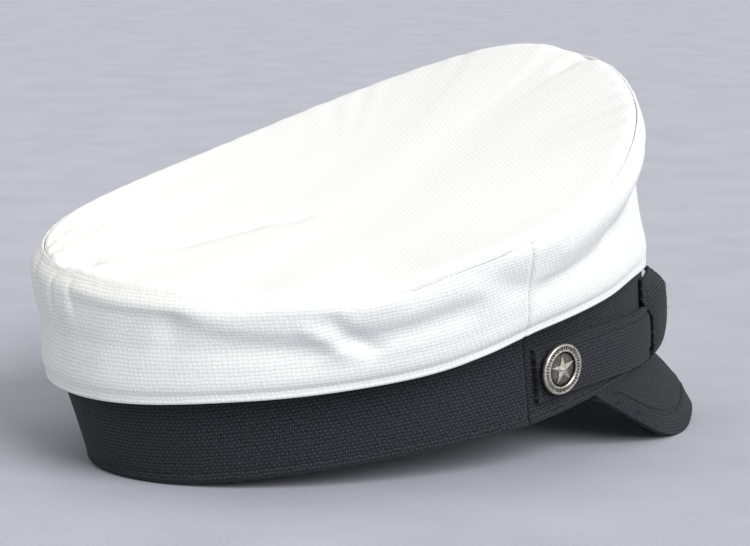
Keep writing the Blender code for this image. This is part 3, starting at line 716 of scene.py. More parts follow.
class StitchRow:
    """Rows of stitches along paths on the cloth, made by one Geometry Nodes tree."""

    INPUTS = (("Pitch", 3.4 * MM), ("Length", 2.5 * MM), ("Thickness", 0.55 * MM), ("Turn", 0.0),
              ("Uneven", 0.12))

    @classmethod
    def tree(cls) -> bpy.types.NodeTree:
        """Builds the tree that lays stitches along a line, or gives the one made before."""
        found = bpy.data.node_groups.get("running_stitch")
        if found:
            return found
        made = bpy.data.node_groups.new("running_stitch", "GeometryNodeTree")
        made.interface.new_socket("Geometry", in_out="INPUT", socket_type="NodeSocketGeometry")
        for name, value in cls.INPUTS:
            socket = made.interface.new_socket(name, in_out="INPUT", socket_type="NodeSocketFloat")
            socket.default_value = value
        made.interface.new_socket("Finish", in_out="INPUT", socket_type="NodeSocketMaterial")
        made.interface.new_socket("Geometry", in_out="OUTPUT", socket_type="NodeSocketGeometry")
        given = add_node(made, "NodeGroupInput").outputs
        line = add_node(made, "GeometryNodeMeshToCurve", {}, {"Mesh": given["Geometry"]})
        spots = add_node(made, "GeometryNodeCurveToPoints", {"mode": "LENGTH"},
                         {"Curve": line.outputs[0], "Length": given["Pitch"]})
        bead = add_node(made, "GeometryNodeMeshUVSphere", {"Segments": 8, "Rings": 5, "Radius": 0.5})
        facing = add_node(made, "FunctionNodeAlignRotationToVector", {"axis": "X"},
                          {"Vector": spots.outputs["Tangent"]})
        across = add_node(made, "ShaderNodeCombineXYZ", {}, {"Z": given["Turn"]})
        euler = add_node(made, "FunctionNodeEulerToRotation", {}, {0: across.outputs[0]})
        turned = add_node(made, "FunctionNodeRotateRotation", {"rotation_space": "LOCAL"},
                          {"Rotation": facing.outputs[0], "Rotate By": euler.outputs[0]})
        size = add_node(made, "ShaderNodeCombineXYZ", {},
                        {"X": given["Length"], "Y": given["Thickness"], "Z": given["Thickness"]})
        low = maths(made, "SUBTRACT", 1.0, given["Uneven"])
        high = maths(made, "ADD", 1.0, given["Uneven"])
        seed = 7
        chance = add_node(made, "FunctionNodeRandomValue", {"data_type": "FLOAT", 8: seed}, {2: low, 3: high})
        scaled = add_node(made, "ShaderNodeVectorMath", {"operation": "SCALE"},
                          {0: size.outputs[0], "Scale": chance.outputs[1]})
        placed = add_node(made, "GeometryNodeInstanceOnPoints", {},
                          {"Points": spots.outputs["Points"], "Instance": bead.outputs["Mesh"],
                           "Rotation": turned.outputs[0], "Scale": scaled.outputs[0]})
        real = add_node(made, "GeometryNodeRealizeInstances", {}, {0: placed.outputs[0]})
        soft = add_node(made, "GeometryNodeSetShadeSmooth", {}, {0: real.outputs[0]})
        dyed = add_node(made, "GeometryNodeSetMaterial", {},
                        {"Geometry": soft.outputs[0], "Material": given["Finish"]})
        add_node(made, "NodeGroupOutput", {}, {0: dyed.outputs[0]})
        return made

    @classmethod
    def lay(cls, name: str, paths: list[np.ndarray], thread: Thread, **sizes: float) -> None:
        """Lays stitches along paths, bakes them to a plain mesh and dresses them.

        Args:
            name: The piece's name.
            paths: Rows of points in this form's own frame.
            thread: What they are sewn with.
            sizes: Values for the tree's inputs by lower-case name.
        """
        mesh = bpy.data.meshes.new(name)
        places, edges = [], []
        for path in paths:
            start = len(places)
            places += (np.asarray(path) + SHIFT).tolist()
            edges += [(start + i, start + i + 1) for i in range(len(path) - 1)]
        mesh.from_pydata(places, edges, [])
        made = new_object(name, mesh)
        tool = made.modifiers.new("stitches", "NODES")
        tree = cls.tree()
        tool.node_group = tree
        known = {item.name: item.identifier for item in tree.interface.items_tree if item.in_out == "INPUT"}
        for key, value in {**dict(cls.INPUTS), **{k.capitalize(): v for k, v in sizes.items()}}.items():
            tool[known[key]] = value
        tool[known["Finish"]] = thread.material()
        apply_all(made)
        dress(made, thread.material(), Slot.BLACK)


@dataclass
class Crown:
    """The soft white crown: a top panel, and a side wall that rolls over the band."""

    form: CapForm = FORM
    cloth: float = 0.8 * MM
    seam_angle: float = 83.5
    seam_sink: float = 1.7 * MM     # depth of the tuck where two panels are sewn
    crest: float = 0.55 * MM        # from the seam to each panel's crest
    top_puff: float = 1.9 * MM      # the top panel rises by this inside its seam
    columns_per_degree: float = 1.6

    def wall(self, name: str, start: float, end: float, seed: int) -> bpy.types.Object:
        """Builds one panel of the side wall, from the band's top to the top seam.

        Args:
            name: The piece's name.
            start: Angle of its first side seam.
            end: Angle of its last side seam.
            seed: Picks its fine creases.

        Returns:
            The panel as a sheet with a wall.
        """
        form = self.form
        trim = 0.012                     # half the gap at a side seam, in degrees
        count = int((end - start) * self.columns_per_degree)
        angles = np.linspace(start + trim, end - trim, count + 1)
        near = np.array([0.0, 0.1, 0.2, 0.35, 0.55, 0.8, 1.2]) + trim
        angles = np.unique(np.concatenate([angles, start + near, end - near]))
        # The front of the crown hangs down over the band; elsewhere it rolls out over it.
        hang = 1 - rise(folded(angles), 24, 48)[:, None]
        top = form.band_point(angles, 1.0, -0.6 * MM, 0.7 * MM)
        lip = form.lip_point(angles)
        over = (top + lip) / 2 * (1 - hang) + form.band_point(angles, 1.0, 0.35 * MM, 0.4 * MM) * hang
        under = form.lip_point(angles, 0.82, 0.2 * MM) * (1 - hang)
        face, above = form.band_point(angles, 1.0, 0.45 * MM), lip + [0, 0, 1.5 * MM]
        under = under + (face * [1, 1, 0] + above * [0, 0, 1]) * hang
        guides = [top, over, under, lip + [0, 0, -0.1 * MM]]
        guides += [form.wall_point(angles, height) for height in WALL_HEIGHTS]
        # Over the crest and down into the seam: distance out from it, and down.
        seam = form.seam_point(angles)
        for out, down in ((self.crest * 2.2, 0.75 * MM), (self.crest, 0.12 * MM), (0.12 * MM, 0.55 * MM),
                          (0.02 * MM, self.seam_sink)):
            guides.append(seam + form.outset(angles, form.top_sizes(), out) - [0, 0, down])
        rows = spline_rows(np.array(guides), 4)
        self.sink_side_seams(rows, angles, start, end)
        self.crease(rows, angles, seed)
        lowest = 12                      # the row that runs along the lip's lowest line
        u = along(rows[lowest])
        v = np.stack([along(rows[:, c]) for c in range(rows.shape[1])], -1)
        v = v - v[lowest]
        uv = np.stack([np.broadcast_to(u, v.shape), v], -1)
        piece = sheet(name, rows, uv)
        give_wall(piece, self.cloth)
        return piece

    def sink_side_seams(self, rows: np.ndarray, angles: np.ndarray, start: float, end: float) -> None:
        """Turns the cloth in beside its two upright seams, in place."""
        for angle in (start, end):
            off = (angles - angle) * CROWN_MM_PER_DEGREE
            sink = 0.42 * MM * np.exp(-(off / 0.45) ** 2)
            sink = sink - 0.16 * MM * np.exp(-((np.abs(off) - 1.6) / 0.9) ** 2)
            rows[10:-10] -= self.form.outset(angles, self.form.top_sizes(), sink)

    def crease(self, rows: np.ndarray, angles: np.ndarray, seed: int) -> None:
        """Adds the small puckers that the top seam pulls into the wall, in place."""
        push = 0.16 * MM * crumple(angles * CROWN_MM_PER_DEGREE, 7.5, seed)
        near = np.exp(-((len(rows) - 12 - np.arange(len(rows))) / 7.0) ** 2)
        rows += near[:, None, None] * self.form.outset(angles, self.form.top_sizes(), push)

    def top(self) -> bpy.types.Object:
        """Builds the top panel: sagging, puffed inside its seam, with its folds."""
        form = self.form
        columns = 480
        angles = np.arange(columns) * 360 / columns - 180
        seam = form.seam_point(angles)
        middle = np.array([0.0, form.top_back])
        reach = np.hypot(seam[:, 0] - middle[0], seam[:, 1] - middle[1])
        # Rings near the seam lie at these distances inside it, the others at shares of the way out.
        tuck = [0.06 * MM, 0.16 * MM, 0.4 * MM, 0.9 * MM, 1.7 * MM, 2.8 * MM, 4.2 * MM, 6.0 * MM]
        inner = 1 - np.linspace(0.075, 0.985, 58)
        rows, uv = [], []
        for i in range(len(tuck) + len(inner)):
            share = 1 - tuck[i] / reach if i < len(tuck) else np.full(columns, inner[i - len(tuck)])
            x = middle[0] + (seam[:, 0] - middle[0]) * share
            y = middle[1] + (seam[:, 1] - middle[1]) * share
            gap = reach * (1 - share)
            edge = seam[:, 2] - form.top_height(seam[:, 0], seam[:, 1])
            z = form.top_height(x, y) + edge * share ** 4 + form.top_dome * (1 - share ** 3)
            inside = np.maximum(gap - tuck[0], 0)
            z = z + self.top_puff * (1 - np.exp(-(inside / (1.5 * MM)) ** 0.9)) * np.exp(-gap / (26 * MM))
            z = z - (self.seam_sink + 0.2 * MM) * np.exp(-inside / (0.22 * MM))
            z = z - self.top_fold(x, y)
            pucker = 0.14 * MM * crumple(angles * CROWN_MM_PER_DEGREE, 8.0, 21)
            pucker = pucker * np.exp(-((gap - 3 * MM) / (3 * MM)) ** 2)
            roll = 0.5 * MM * crumple(x / MM * 0.9 + y / MM * 0.4, 62.0, 5) * (1 - share ** 6)
            z = z + pucker + roll
            rows.append(np.stack([x, y, z], -1))
            uv.append(np.stack([x, y], -1) / MM)
        tip = rows[-1].mean(0)
        spots = np.array(uv)
        spots = np.concatenate([spots, spots[:, :1]], 1)
        turn = math.radians(16)          # how the top panel's weave lies
        spin = np.array([[math.cos(turn), -math.sin(turn)], [math.sin(turn), math.cos(turn)]])
        piece = sheet("top_panel", np.array(rows), spots @ spin.T, ring=True, tip=tip)
        give_wall(piece, self.cloth)
        return piece

    def top_fold(self, x: np.ndarray, y: np.ndarray) -> np.ndarray:
        """Gives how far the top panel's folds sink places."""
        form = self.form
        depth = np.zeros_like(x)
        for a0, s0, a1, s1, width, deep in TOP_FOLDS:
            ends = []
            for angle, share in ((a0, s0), (a1, s1)):
                ex, ey = form.oval(angle, *form.top_sizes())
                ends.append((float(ex) * share, form.top_back + (float(ey) - form.top_back) * share))
            (x0, y0), (x1, y1) = ends
            run = (x1 - x0) ** 2 + (y1 - y0) ** 2
            s = np.clip(((x - x0) * (x1 - x0) + (y - y0) * (y1 - y0)) / run, 0, 1)
            away = np.hypot(x - x0 - s * (x1 - x0), y - y0 - s * (y1 - y0))
            depth = depth + deep * MM * np.exp(-(away / (width * MM)) ** 2)
        return depth

    def build(self) -> None:
        """Builds and dresses the crown."""
        seam = self.seam_angle
        for name, start, end, seed in (("front", -seam, seam, 31), ("rear", seam, 360 - seam, 32)):
            panel = self.wall(f"crown_wall_{name}", start, end, seed)
            dress(panel, WHITE_DUCK.material(), Slot.WHITE, f"crown_{name}")
        dress(self.top(), TOP_DUCK.material(), Slot.WHITE, "crown_top")


@dataclass
class Band:
    """The black band: doubled canvas with a turned hem and a row of stitches."""

    form: CapForm = FORM
    seam_angle: float = 79.6
    hem_round: float = 1.4 * MM
    stitch_up: float = 3.6 * MM
    quilt: float = 0.5 * MM         # how far the stitch row pulls the cloth in
    columns_per_degree: float = 1.5

    def panel(self, name: str, start: float, end: float) -> bpy.types.Object:
        """Builds one length of the band as a closed strip.

        Args:
            name: The piece's name.
            start: Angle of its first upright seam.
            end: Angle of its last upright seam.

        Returns:
            The strip.
        """
        form = self.form
        angles = np.linspace(start + 0.06, end - 0.06, int((end - start) * self.columns_per_degree) + 1)
        tall = form.band_tall(angles)
        rows, across = [], []
        wave = 0.35 * MM * crumple(angles * BAND_MM_PER_DEGREE, 46.0, 12)
        # The face's rows lie closer together over the stitches.
        steps = np.concatenate([np.linspace(1, 0.22, 16)[:-1], np.linspace(0.22, 0, 22)])
        for step in steps:
            up = self.hem_round + (tall - self.hem_round) * step
            pull = self.quilt * np.exp(-((up - self.stitch_up) / (0.6 * MM)) ** 2)
            swell = 0.25 * MM * np.exp(-((up - 1.9 * MM) / (1.2 * MM)) ** 2)
            out = wave * math.sin(math.pi * step) - pull + swell
            rows.append(self.place(angles, up, out))
            across.append(up / MM)
        for turn in np.linspace(0, math.pi, 9)[1:-1]:
            up = self.hem_round * (1 - math.sin(turn))
            out = -form.band_wall / 2 * (1 - math.cos(turn))
            rows.append(self.place(angles, up, out))
            across.append(np.full_like(angles, -turn))
        for step in np.linspace(0, 1, 10):
            up = self.hem_round + (tall - self.hem_round) * step
            rows.append(self.place(angles, up, -form.band_wall))
            across.append(-3 - up / MM)
        lengths = along(form.band_point(angles, 0.3))
        grid = np.array(rows)
        seam_width = 0.35                # of the tuck at an upright seam, in degrees
        for angle in (start, end):
            sink = 0.5 * MM * np.exp(-((angles - angle) / seam_width) ** 2)
            grid[:len(steps)] -= form.outset(angles, form.band_sizes(0.5), sink)
        grid = grid.transpose(1, 0, 2)
        u = np.broadcast_to(lengths[:, None], grid.shape[:2])
        v = np.array(across).T
        uv = np.stack([u, v], -1)
        uv = np.concatenate([uv, uv[:, :1]], 1)
        piece = sheet(name, grid, uv, ring=True)
        shape = bmesh.new()
        shape.from_mesh(piece.data)
        bmesh.ops.holes_fill(shape, edges=[e for e in shape.edges if e.is_boundary])
        bmesh.ops.recalc_face_normals(shape, faces=shape.faces)
        shape.to_mesh(piece.data)
        shape.free()
        return piece

    def place(self, angles: np.ndarray, up: np.ndarray, out: np.ndarray) -> np.ndarray:
        """Gives places at distances up the band and out from its face."""
        form = self.form
        return form.above_hem(angles, up) + form.outset(angles, form.band_sizes(0.5), out)

    def build(self) -> None:
        """Builds and dresses the band and its hem stitches."""
        seam = self.seam_angle
        for name, start, end in (("front", -seam, seam), ("rear", seam, 360 - seam)):
            panel = self.panel(f"band_cloth_{name}", start, end)
            dress(panel, BLACK_CANVAS.material(), Slot.BLACK, f"band_{name}")
        paths = []
        for start, end in ((seam + 1, 359 - seam), (1 - seam, seam - 1)):
            angles = np.linspace(start, end, 240)
            paths.append(self.place(angles, self.stitch_up, 0.1 * MM - self.quilt))
        StitchRow.lay("hem_stitches", paths, BLACK_THREAD, pitch=4.6 * MM, length=3.2 * MM,
                      thickness=0.5 * MM)


@dataclass
class FrontStrap:
    """The strap across the front, lying on the band, with two rows of stitches."""

    form: CapForm = FORM
    gap: float = 0.25 * MM
    rim: float = 0.85 * MM
    top_row: float = 2.3 * MM
    low_row: float = 2.4 * MM
    quilt: float = 0.7 * MM

    def skin(self, angles: np.ndarray, up: np.ndarray) -> np.ndarray:
        """Gives places on the strap's face, at distances above its lower edge."""
        form = self.form
        width = form.strap_width
        pull = self.quilt * (np.exp(-((up - self.low_row) / (0.55 * MM)) ** 2)
                             + np.exp(-((width - up - self.top_row) / (0.55 * MM)) ** 2))
        middle = np.sin(math.pi * np.clip(up / width, 0, 1))
        puff = (0.45 + 0.3 * crumple(angles * BAND_MM_PER_DEGREE, 40.0, 17)) * MM * middle
        out = self.gap + form.strap_wall + form.strap_off(angles) + puff - pull
        base = form.above_hem(angles, form.strap_foot(angles) + up)
        return base + form.outset(angles, form.band_sizes(0.5), out)

    def build(self) -> None:
        """Builds and dresses the strap, its stitches and its end tacks."""
        form = self.form
        end = form.strap_end_angle
        angles = np.linspace(-end, end, 250)
        ups = np.linspace(0, form.strap_width, 60)
        rows = np.array([self.skin(angles, up) for up in ups])
        lengths = along(form.band_point(angles, 0.4))
        uv = np.stack(np.broadcast_arrays(lengths[None, :], ups[:, None] / MM), -1)
        strap = sheet("front_strap", rows, uv)
        give_wall(strap, form.strap_wall, self.rim)
        dress(strap, BLACK_CANVAS.material(), Slot.BLACK, "strap")
        inner = np.linspace(-end + 2.0, end - 2.0, 260)
        paths = [self.skin(inner, up) + form.outset(inner, form.band_sizes(0.5), 0.12 * MM)
                 for up in (self.low_row, form.strap_width - self.top_row)]
        StitchRow.lay("strap_stitches", paths, BLACK_THREAD, pitch=3.5 * MM, length=2.5 * MM,
                      thickness=0.48 * MM)
        tacks = []
        for side in (-1, 1):
            for inset in (0.7, 1.9):
                ups = np.linspace(1.2 * MM, form.strap_width - 1.2 * MM, 30)
                at = np.full_like(ups, side * (end - inset))
                tacks.append(self.skin(at, ups) + form.outset(at, form.band_sizes(0.5), 0.1 * MM))
        StitchRow.lay("strap_end_tacks", tacks, BLACK_THREAD, pitch=0.62 * MM, length=2.1 * MM,
                      thickness=0.5 * MM, turn=math.radians(78), uneven=0.35)


@dataclass
class BeltLoop:
    """A belt loop that holds the strap: a bowed strip whose front edge stands off."""

    side: int
    form: CapForm = FORM
    width: float = 22.0 * MM
    wall: float = 1.4 * MM
    stand: float = 8.5 * MM         # how far its front edge stands off the strap's face
    top_turn: float = 3.2           # degrees that it leans to the rear above the strap
    rib: float = 0.42 * MM          # height of the turned edges

    def build(self) -> None:
        """Builds and dresses the loop."""
        form = self.form
        name = "right" if self.side > 0 else "left"
        half = math.degrees(self.width / 2 / (form.head_width / 2 + 5 * MM))
        angles = np.linspace(form.loop_angle - half, form.loop_angle + half, 33)
        foot = float(form.strap_foot(form.loop_angle))
        width, wall = form.strap_width, self.wall
        over = 0.3 * MM + form.strap_wall + form.strap_off(angles)
        hug = over + wall
        profile = (
            # distance above the strap's lower edge, least distance out from the band, share of the stand
            (-0.9 * MM, over * 0.8, 0.62), (0.8 * MM, over + 0.5 * MM, 0.74),
            (width * 0.16, hug, 0.78), (width * 0.42, hug, 0.97), (width * 0.76, hug, 1.02),
            (width * 0.95, over * 0.7 + wall, 1.10), (width * 1.14, wall * 1.1, 1.28),
            (width * 1.29, wall, 0.94), (width * 1.52, wall, 0.22),
        )
        across = (angles - form.loop_angle) / half          # -1 at the front edge, 1 at the rear
        # The strip bows out toward its front edge, which turns back in a little.
        cup = np.clip(0.5 - 0.5 * across, 0, 1) ** 0.8 - 0.16 * np.exp(-((across + 1.0) / 0.35) ** 2)
        level = form.outset(angles, form.band_sizes(0.5), 1.0)
        guides = []
        for up, least, share in profile:
            slip = 1.6 * MM * across * (0.4 - min(share, 1.0))
            turned = angles + self.top_turn * min(max((up / width - 0.8) / 0.35, 0.0), 1.0)
            reach = least + (self.stand - wall) * share * cup
            guides.append(form.above_hem(turned, foot + up + slip) + level * reach[:, None])
        rows = spline_rows(np.array(guides), 8)
        off = (1 - np.abs(across)) * self.width / 2 / MM     # millimetres from the nearer edge
        rib = self.rib * (np.exp(-((off - 0.8) / 0.7) ** 2) - 0.9 * np.exp(-((off - 2.2) / 0.5) ** 2))
        for i, row in enumerate(rows):
            row += level * (rib * (1 + 0.5 * math.sin(i * 2.1)))[:, None]
        v = along(rows[:, len(angles) // 2])
        u = along(rows[len(rows) // 2])
        uv = np.stack(np.broadcast_arrays(u[None, :], v[:, None]), -1)
        front = rows[6:-16, 1]
        if self.side < 0:
            rows, front = (rows * [-1, 1, 1])[:, ::-1], front * [-1, 1, 1]
        loop = sheet(f"belt_loop_{name}", rows, uv)
        give_wall(loop, self.wall, 0.55 * MM)
        dress(loop, BLACK_CANVAS.material(), Slot.BLACK, f"loop_{name}")
        # The front-edge stitches are pale grey as a painted highlight on the rolled edge.
        StitchRow.lay(f"loop_stitches_{name}", [front], LOOP_EDGE_HIGHLIGHT_THREAD, pitch=1.5 * MM, length=1.0 * MM,
                      thickness=0.6 * MM, turn=math.radians(70))


@dataclass
class Peak:
    """The short peak: canvas over a stiffener, stitched around inside its border."""

    form: CapForm = FORM
    wall: float = 3.0 * MM
    reach: float = 25.6 * MM
    root_angle: float = 60.0
    swell: float = 2.2 * MM
    rim: float = 9.5 * MM
    groove: float = 1.6 * MM

    def grid(self, columns: int, steps: np.ndarray) -> tuple[np.ndarray, np.ndarray]:
        """Gives the peak's upper face and the distance of each place from its edge."""
        form = self.form
        shares = np.linspace(-1, 1, columns)
        root = form.band_point(shares * self.root_angle, 0.0, -0.5 * form.band_wall, 1.4 * MM)
        edge = form.edge_point(shares, self.reach)
        # Takes the corners out of the table's curve.
        span = 14
        soft = np.exp(-(np.arange(-span, span + 1) / 7.5) ** 2)
        padded = np.concatenate([2 * edge[:1] - edge[span:0:-1], edge,
                                 2 * edge[-1:] - edge[-2:-span - 2:-1]])
        edge = np.stack([np.convolve(padded[:, k], soft / soft.sum(), "valid") for k in range(3)], -1)
        length = np.linalg.norm(edge - root, axis=-1)
        border = np.clip(self.rim / length, 0, 0.6)
        rows, away = [], []
        for step in steps:
            place = root + (edge - root) * step
            inward = np.sin(math.pi * np.clip((1 - np.abs(shares)) * 4, 0, 0.5))
            swell = self.swell * math.sin(math.pi * step) * inward
            sink = self.groove * np.exp(-((1 - step - border) * length / (0.8 * MM)) ** 2)
            pad = 0.5 * MM * np.exp(-((1 - step - border) * length / (3.2 * MM)) ** 2)
            sideways = np.sin(np.radians(shares * 50)) * -0.6
            forward = np.stack(np.broadcast_arrays(sideways, -0.6, 0.8), -1)
            push = swell - (sink - pad) * (np.abs(shares) < 0.95)
            rows.append(place + forward * push[:, None])
            away.append((1 - step) * length / MM)
        return np.array(rows), np.array(away)

    def build(self) -> None:
        """Builds and dresses the peak and its stitches."""
        columns = 190
        rows, away = self.grid(columns, np.linspace(0, 1, 56))
        u = along(rows[-1])
        uv = np.stack([np.broadcast_to(u, away.shape), away], -1)
        peak = sheet("peak_cloth", rows[::-1], uv[::-1])
        give_wall(peak, self.wall, 1.1 * MM)
        apply_all(peak)
        for vertex in peak.data.vertices:
            vertex.co.z = max(0.0, vertex.co.z)
        dress(peak, BLACK_CANVAS.material(), Slot.BLACK, "peak")
        shares = np.linspace(-1, 1, columns)
        inside = np.nonzero(np.abs(shares) < 0.9)[0]
        border = np.array([np.argmin(np.abs(away[:, c] - self.rim / MM)) for c in inside])
        path = rows[border, inside] + [0, -0.05 * MM, 0.12 * MM]
        StitchRow.lay("peak_stitches", [path], BLACK_THREAD, pitch=3.6 * MM, length=2.6 * MM,
                      thickness=0.5 * MM)


@dataclass
class StarButton:
    """A tack button: a flat ring around a sunk field that holds a faceted star."""

    side: int
    form: CapForm = FORM
    diameter: float = 18.4 * MM
    height: float = 3.4 * MM
    angle: float = 73.2
    raise_: float = 1.2 * MM         # above the strap's middle
    field_width: float = 12.8 * MM
    sunk: float = 0.62 * MM          # the field lies this far below the ring's top
    star_gap: float = 0.75 * MM      # from the field's edge to the star's tips
    star_rise: float = 0.95 * MM     # the star's middle stands this far above the ring
    star_waist: float = 0.36         # its notches, as a share of its reach
    tick_count: int = 44
    sides: int = 80

    def frame(self) -> Matrix:
        """Gives the button's place: X up the band, Y along it, Z outward."""
        form = self.form
        up_to = form.strap_foot(self.angle) + form.strap_width / 2 + self.raise_
        place = form.above_hem(self.angle, up_to)[0]
        low, high = form.band_point(self.angle, 0.0), form.band_point(self.angle, 1.0)
        nx, ny = form.outward(self.angle, *form.band_sizes(0.5))
        up = Vector(high - low).normalized()
        out = Vector((float(nx), float(ny), 0.0))
        out = (out - up * out.dot(up)).normalized()
        side = out.cross(up)
        made = Matrix((up, side, out)).transposed().to_4x4()
        made.translation = Vector(place + SHIFT) + out * (form.strap_wall + 0.6 * MM)
        return made

    def body(self) -> tuple[tuple[float, float, float], ...]:
        """Gives the turned profile as radius, height and soot for each ring."""
        r, f, h = self.diameter / 2, self.field_width / 2, self.height
        return (
            (3.5 * MM, 0.0, 0.6), (3.5 * MM, h * 0.4, 0.6), (r - 0.7 * MM, h * 0.42, 0.5),
            (r - 0.15 * MM, h * 0.48, 0.35), (r, h * 0.62, 0.25), (r, h * 0.8, 0.15),
            (r - 0.18 * MM, h * 0.93, 0.0), (r - 0.45 * MM, h, 0.0), (r - 0.75 * MM, h, 0.0),
            (r - 0.95 * MM, h - 0.14 * MM, 0.25), (f + 0.55 * MM, h - 0.14 * MM, 0.05),
            (f + 0.35 * MM, h, 0.0), (f + 0.05 * MM, h, 0.0), (f - 0.15 * MM, h - 0.6 * MM, 1.0),
            (f - 0.55 * MM, h - 0.85 * MM, 1.0), (f - 0.9 * MM, h - 0.7 * MM, 0.8),
            (f * 0.6, h - self.sunk, 0.62), (f * 0.3, h - self.sunk, 0.7),
        )

    def build(self) -> None:
        """Builds and dresses the button."""
        name = "right" if self.side > 0 else "left"
        shape = bmesh.new()
        soot = shape.verts.layers.float.new("soot")
        rings = []
        for radius, height, dark in self.body():
            ring = []
            for i in range(self.sides):
                a = i * 2 * math.pi / self.sides
                vert = shape.verts.new((radius * math.cos(a), radius * math.sin(a), height))
                vert[soot] = dark
                ring.append(vert)
            rings.append(ring)
        for low, high in zip(rings, rings[1:]):
            for i in range(self.sides):
                j = (i + 1) % self.sides
                shape.faces.new((low[i], low[j], high[j], high[i]))
        for ring, height, turned in ((rings[0], 0.0, True), (rings[-1], self.height - 0.55 * MM, False)):
            middle = shape.verts.new((0, 0, height))
            middle[soot] = 0.6
            for i in range(self.sides):
                a, b = ring[i], ring[(i + 1) % self.sides]
                shape.faces.new((b, a, middle) if turned else (a, b, middle))
        for face in shape.faces:
            face.smooth = True
        self.star(shape, soot)
        self.ticks(shape, soot)
        mesh = bpy.data.meshes.new(f"star_button_{name}")
        shape.to_mesh(mesh)
        shape.free()
        mesh.transform(self.frame())
        if self.side < 0:
            mesh.transform(Matrix.Translation((2 * float(SHIFT[0]), 0, 0)) @ Matrix.Diagonal((-1, 1, 1, 1)))
            mesh.flip_normals()
        piece = new_object(mesh.name, mesh)
        dress(piece, SILVER.material(), Slot.SILVER, f"button_{name}")

    def star(self, shape: bmesh.types.BMesh, soot: bmesh.types.BMLayerItem) -> None:
        """Adds the plain five-point star, each arm with two facets and a foot."""
        reach = self.field_width / 2 - self.star_gap
        floor, crest = self.height - self.sunk, self.height + self.star_rise
        feet, rims = [], []
        for i in range(10):
            a = math.radians(i * 36)
            radius = reach if i % 2 == 0 else reach * self.star_waist
            for level, ring, dark in ((floor, feet, 1.0), (floor + 0.28 * MM, rims, 0.12)):
                vert = shape.verts.new((radius * math.cos(a), radius * math.sin(a), level))
                vert[soot] = dark
                ring.append(vert)
        top = shape.verts.new((0, 0, crest))
        top[soot] = 0.0
        for i in range(10):
            j = (i + 1) % 10
            for corners in ((feet[i], feet[j], rims[j], rims[i]), (rims[i], rims[j], top)):
                shape.faces.new(corners).smooth = False
        shape.faces.new(feet[::-1]).smooth = False

    def ticks(self, shape: bmesh.types.BMesh, soot: bmesh.types.BMLayerItem) -> None:
        """Adds a generic ring of short raised ticks to the flat ring."""
        middle = (self.diameter / 2 - 0.95 * MM + self.field_width / 2 + 0.55 * MM) / 2
        low, high = self.height - 0.3 * MM, self.height + 0.06 * MM
        half_wide = 0.19 * MM
        for i in range(self.tick_count):
            a = i * 2 * math.pi / self.tick_count
            long = (0.55, 0.3, 0.62, 0.42)[i % 4] * MM
            corners = []
            for level, grow in ((low, 1.25), (high, 1.0)):
                for dr, dt in ((-1, -1), (1, -1), (1, 1), (-1, 1)):
                    r, t = middle + dr * long * grow, dt * half_wide * grow
                    x, y = r * math.cos(a) - t * math.sin(a), r * math.sin(a) + t * math.cos(a)
                    vert = shape.verts.new((x, y, level))
                    vert[soot] = 1.0 if level == low else 0.85
                    corners.append(vert)
            for face in ((4, 5, 6, 7), (0, 1, 5, 4), (1, 2, 6, 5), (2, 3, 7, 6), (3, 0, 4, 7), (3, 2, 1, 0)):
                shape.faces.new([corners[k] for k in face]).smooth = False


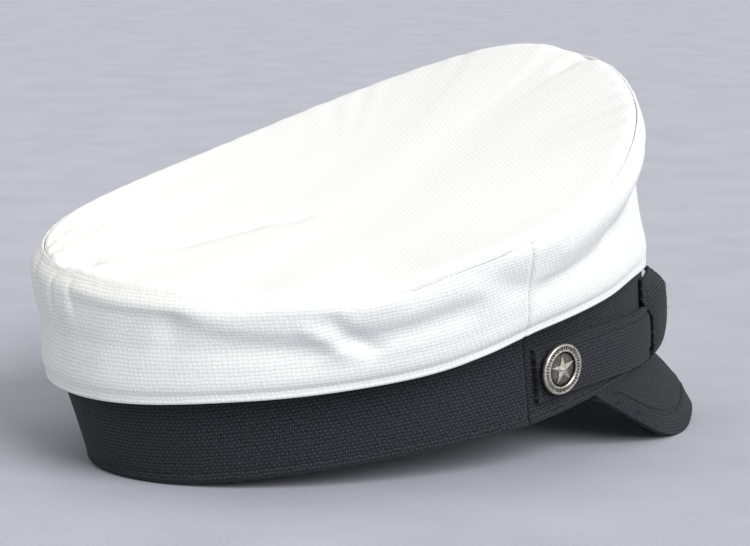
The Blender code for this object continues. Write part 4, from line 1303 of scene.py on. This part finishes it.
@dataclass
class Studio:
    """The pale paper floor, the soft lights and the camera at the photograph's angle."""

    azimuth: float = 240.0
    elevation: float = 8.78
    distance: float = 999.2 * MM
    focal_px: float = 2701.0
    photo_width_px: float = 750.0
    aim: tuple[float, float, float] = (1.34 * MM, 2.13 * MM, 60.0 * MM)   # right, up, height
    paper: str = "b5b8c2"
    half_size: float = 9.0
    sun_up: float = 33.0             # the soft sun's height above the floor, in degrees
    sun_turn: float = 275.0          # and its bearing, as the camera's azimuth is counted
    sun_spread: float = 38.0
    sun_power: float = 2.95
    sky_power: float = 0.62

    def axes(self) -> tuple[Vector, Vector, Vector]:
        """Gives the camera's right, up and back directions."""
        a, e = math.radians(self.azimuth), math.radians(self.elevation)
        back = Vector((math.sin(a) * math.cos(e), -math.cos(a) * math.cos(e), math.sin(e)))
        right = (-back).cross(Vector((0, 0, 1))).normalized()
        return right, right.cross(-back), back

    def paper_finish(self) -> bpy.types.Material:
        """Makes matte grey background paper with a faint mottle and fine grain."""
        made, tree, shader = new_finish("grey_background_paper", Roughness=0.95, Specular_IOR_Level=0.1)
        place = add_node(tree, "ShaderNodeTexCoord").outputs["Object"]
        blot = noise(tree, place, 1.0 / 0.06, 4.0, 0.6)
        # Paper fibre is finer than the view shows; it is drawn 1.2 mm wide.
        grain = noise(tree, place, 1.0 / (1.2 * MM), 2.0)
        tone = add_node(tree, "ShaderNodeMapRange", {"From Min": 0.75, "From Max": 1.25},
                        {0: maths(tree, "ADD", blot, grain)})
        dark, light = (tuple(c * part for c in linear(self.paper)[:3]) + (1.0,) for part in (0.93, 1.07))
        tree.links.new(blend(tree, tone.outputs[0], dark, light), shader.inputs["Base Color"])
        return made

    def build(self) -> None:
        """Builds the floor, the lights and the camera."""
        mesh = bpy.data.meshes.new("paper_floor")
        s = self.half_size
        mesh.from_pydata([(-s, -s, 0), (s, -s, 0), (s, s, 0), (-s, s, 0)], [], [(0, 1, 2, 3)])
        floor = new_object("paper_floor", mesh)
        mesh.materials.append(self.paper_finish())
        lamp = bpy.data.lights.new("soft_sun", "SUN")
        lamp.energy, lamp.angle = self.sun_power, math.radians(self.sun_spread)
        holder = new_object("soft_sun", lamp)
        turn, up = math.radians(self.sun_turn), math.radians(self.sun_up)
        toward = Vector((math.sin(turn) * math.cos(up), -math.cos(turn) * math.cos(up), math.sin(up)))
        holder.rotation_euler = toward.to_track_quat("Z", "Y").to_euler()
        world = bpy.data.worlds.new("studio_air")
        world.use_nodes = True
        sky = world.node_tree.nodes["Background"]
        sky.inputs[0].default_value = linear("fffefb")
        sky.inputs[1].default_value = self.sky_power
        bpy.context.scene.world = world
        bpy.context.scene.view_settings.view_transform = "Standard"
        right, up, back = self.axes()
        lens = bpy.data.cameras.new("camera")
        lens.sensor_width = 36.0
        lens.lens = self.focal_px * lens.sensor_width / self.photo_width_px
        lens.clip_start, lens.clip_end = 0.02, 60.0
        camera = new_object("camera", lens)
        place = (Vector((0, 0, self.aim[2])) + right * self.aim[0] + up * self.aim[1]
                 + back * self.distance + Vector(SHIFT))
        turned = Matrix((right, up, back)).transposed().to_4x4()
        turned.translation = place
        camera.matrix_world = turned
        bpy.context.scene.camera = camera


def main() -> None:
    """Builds the cap's pieces in order, and then the studio around them."""
    logging.basicConfig(level=logging.INFO, format="%(name)s: %(message)s")
    Band().build()
    Peak().build()
    FrontStrap().build()
    for side in (1, -1):
        BeltLoop(side).build()
        StarButton(side).build()
    Crown().build()
    Studio().build()


if __name__ == "__main__":
    main()
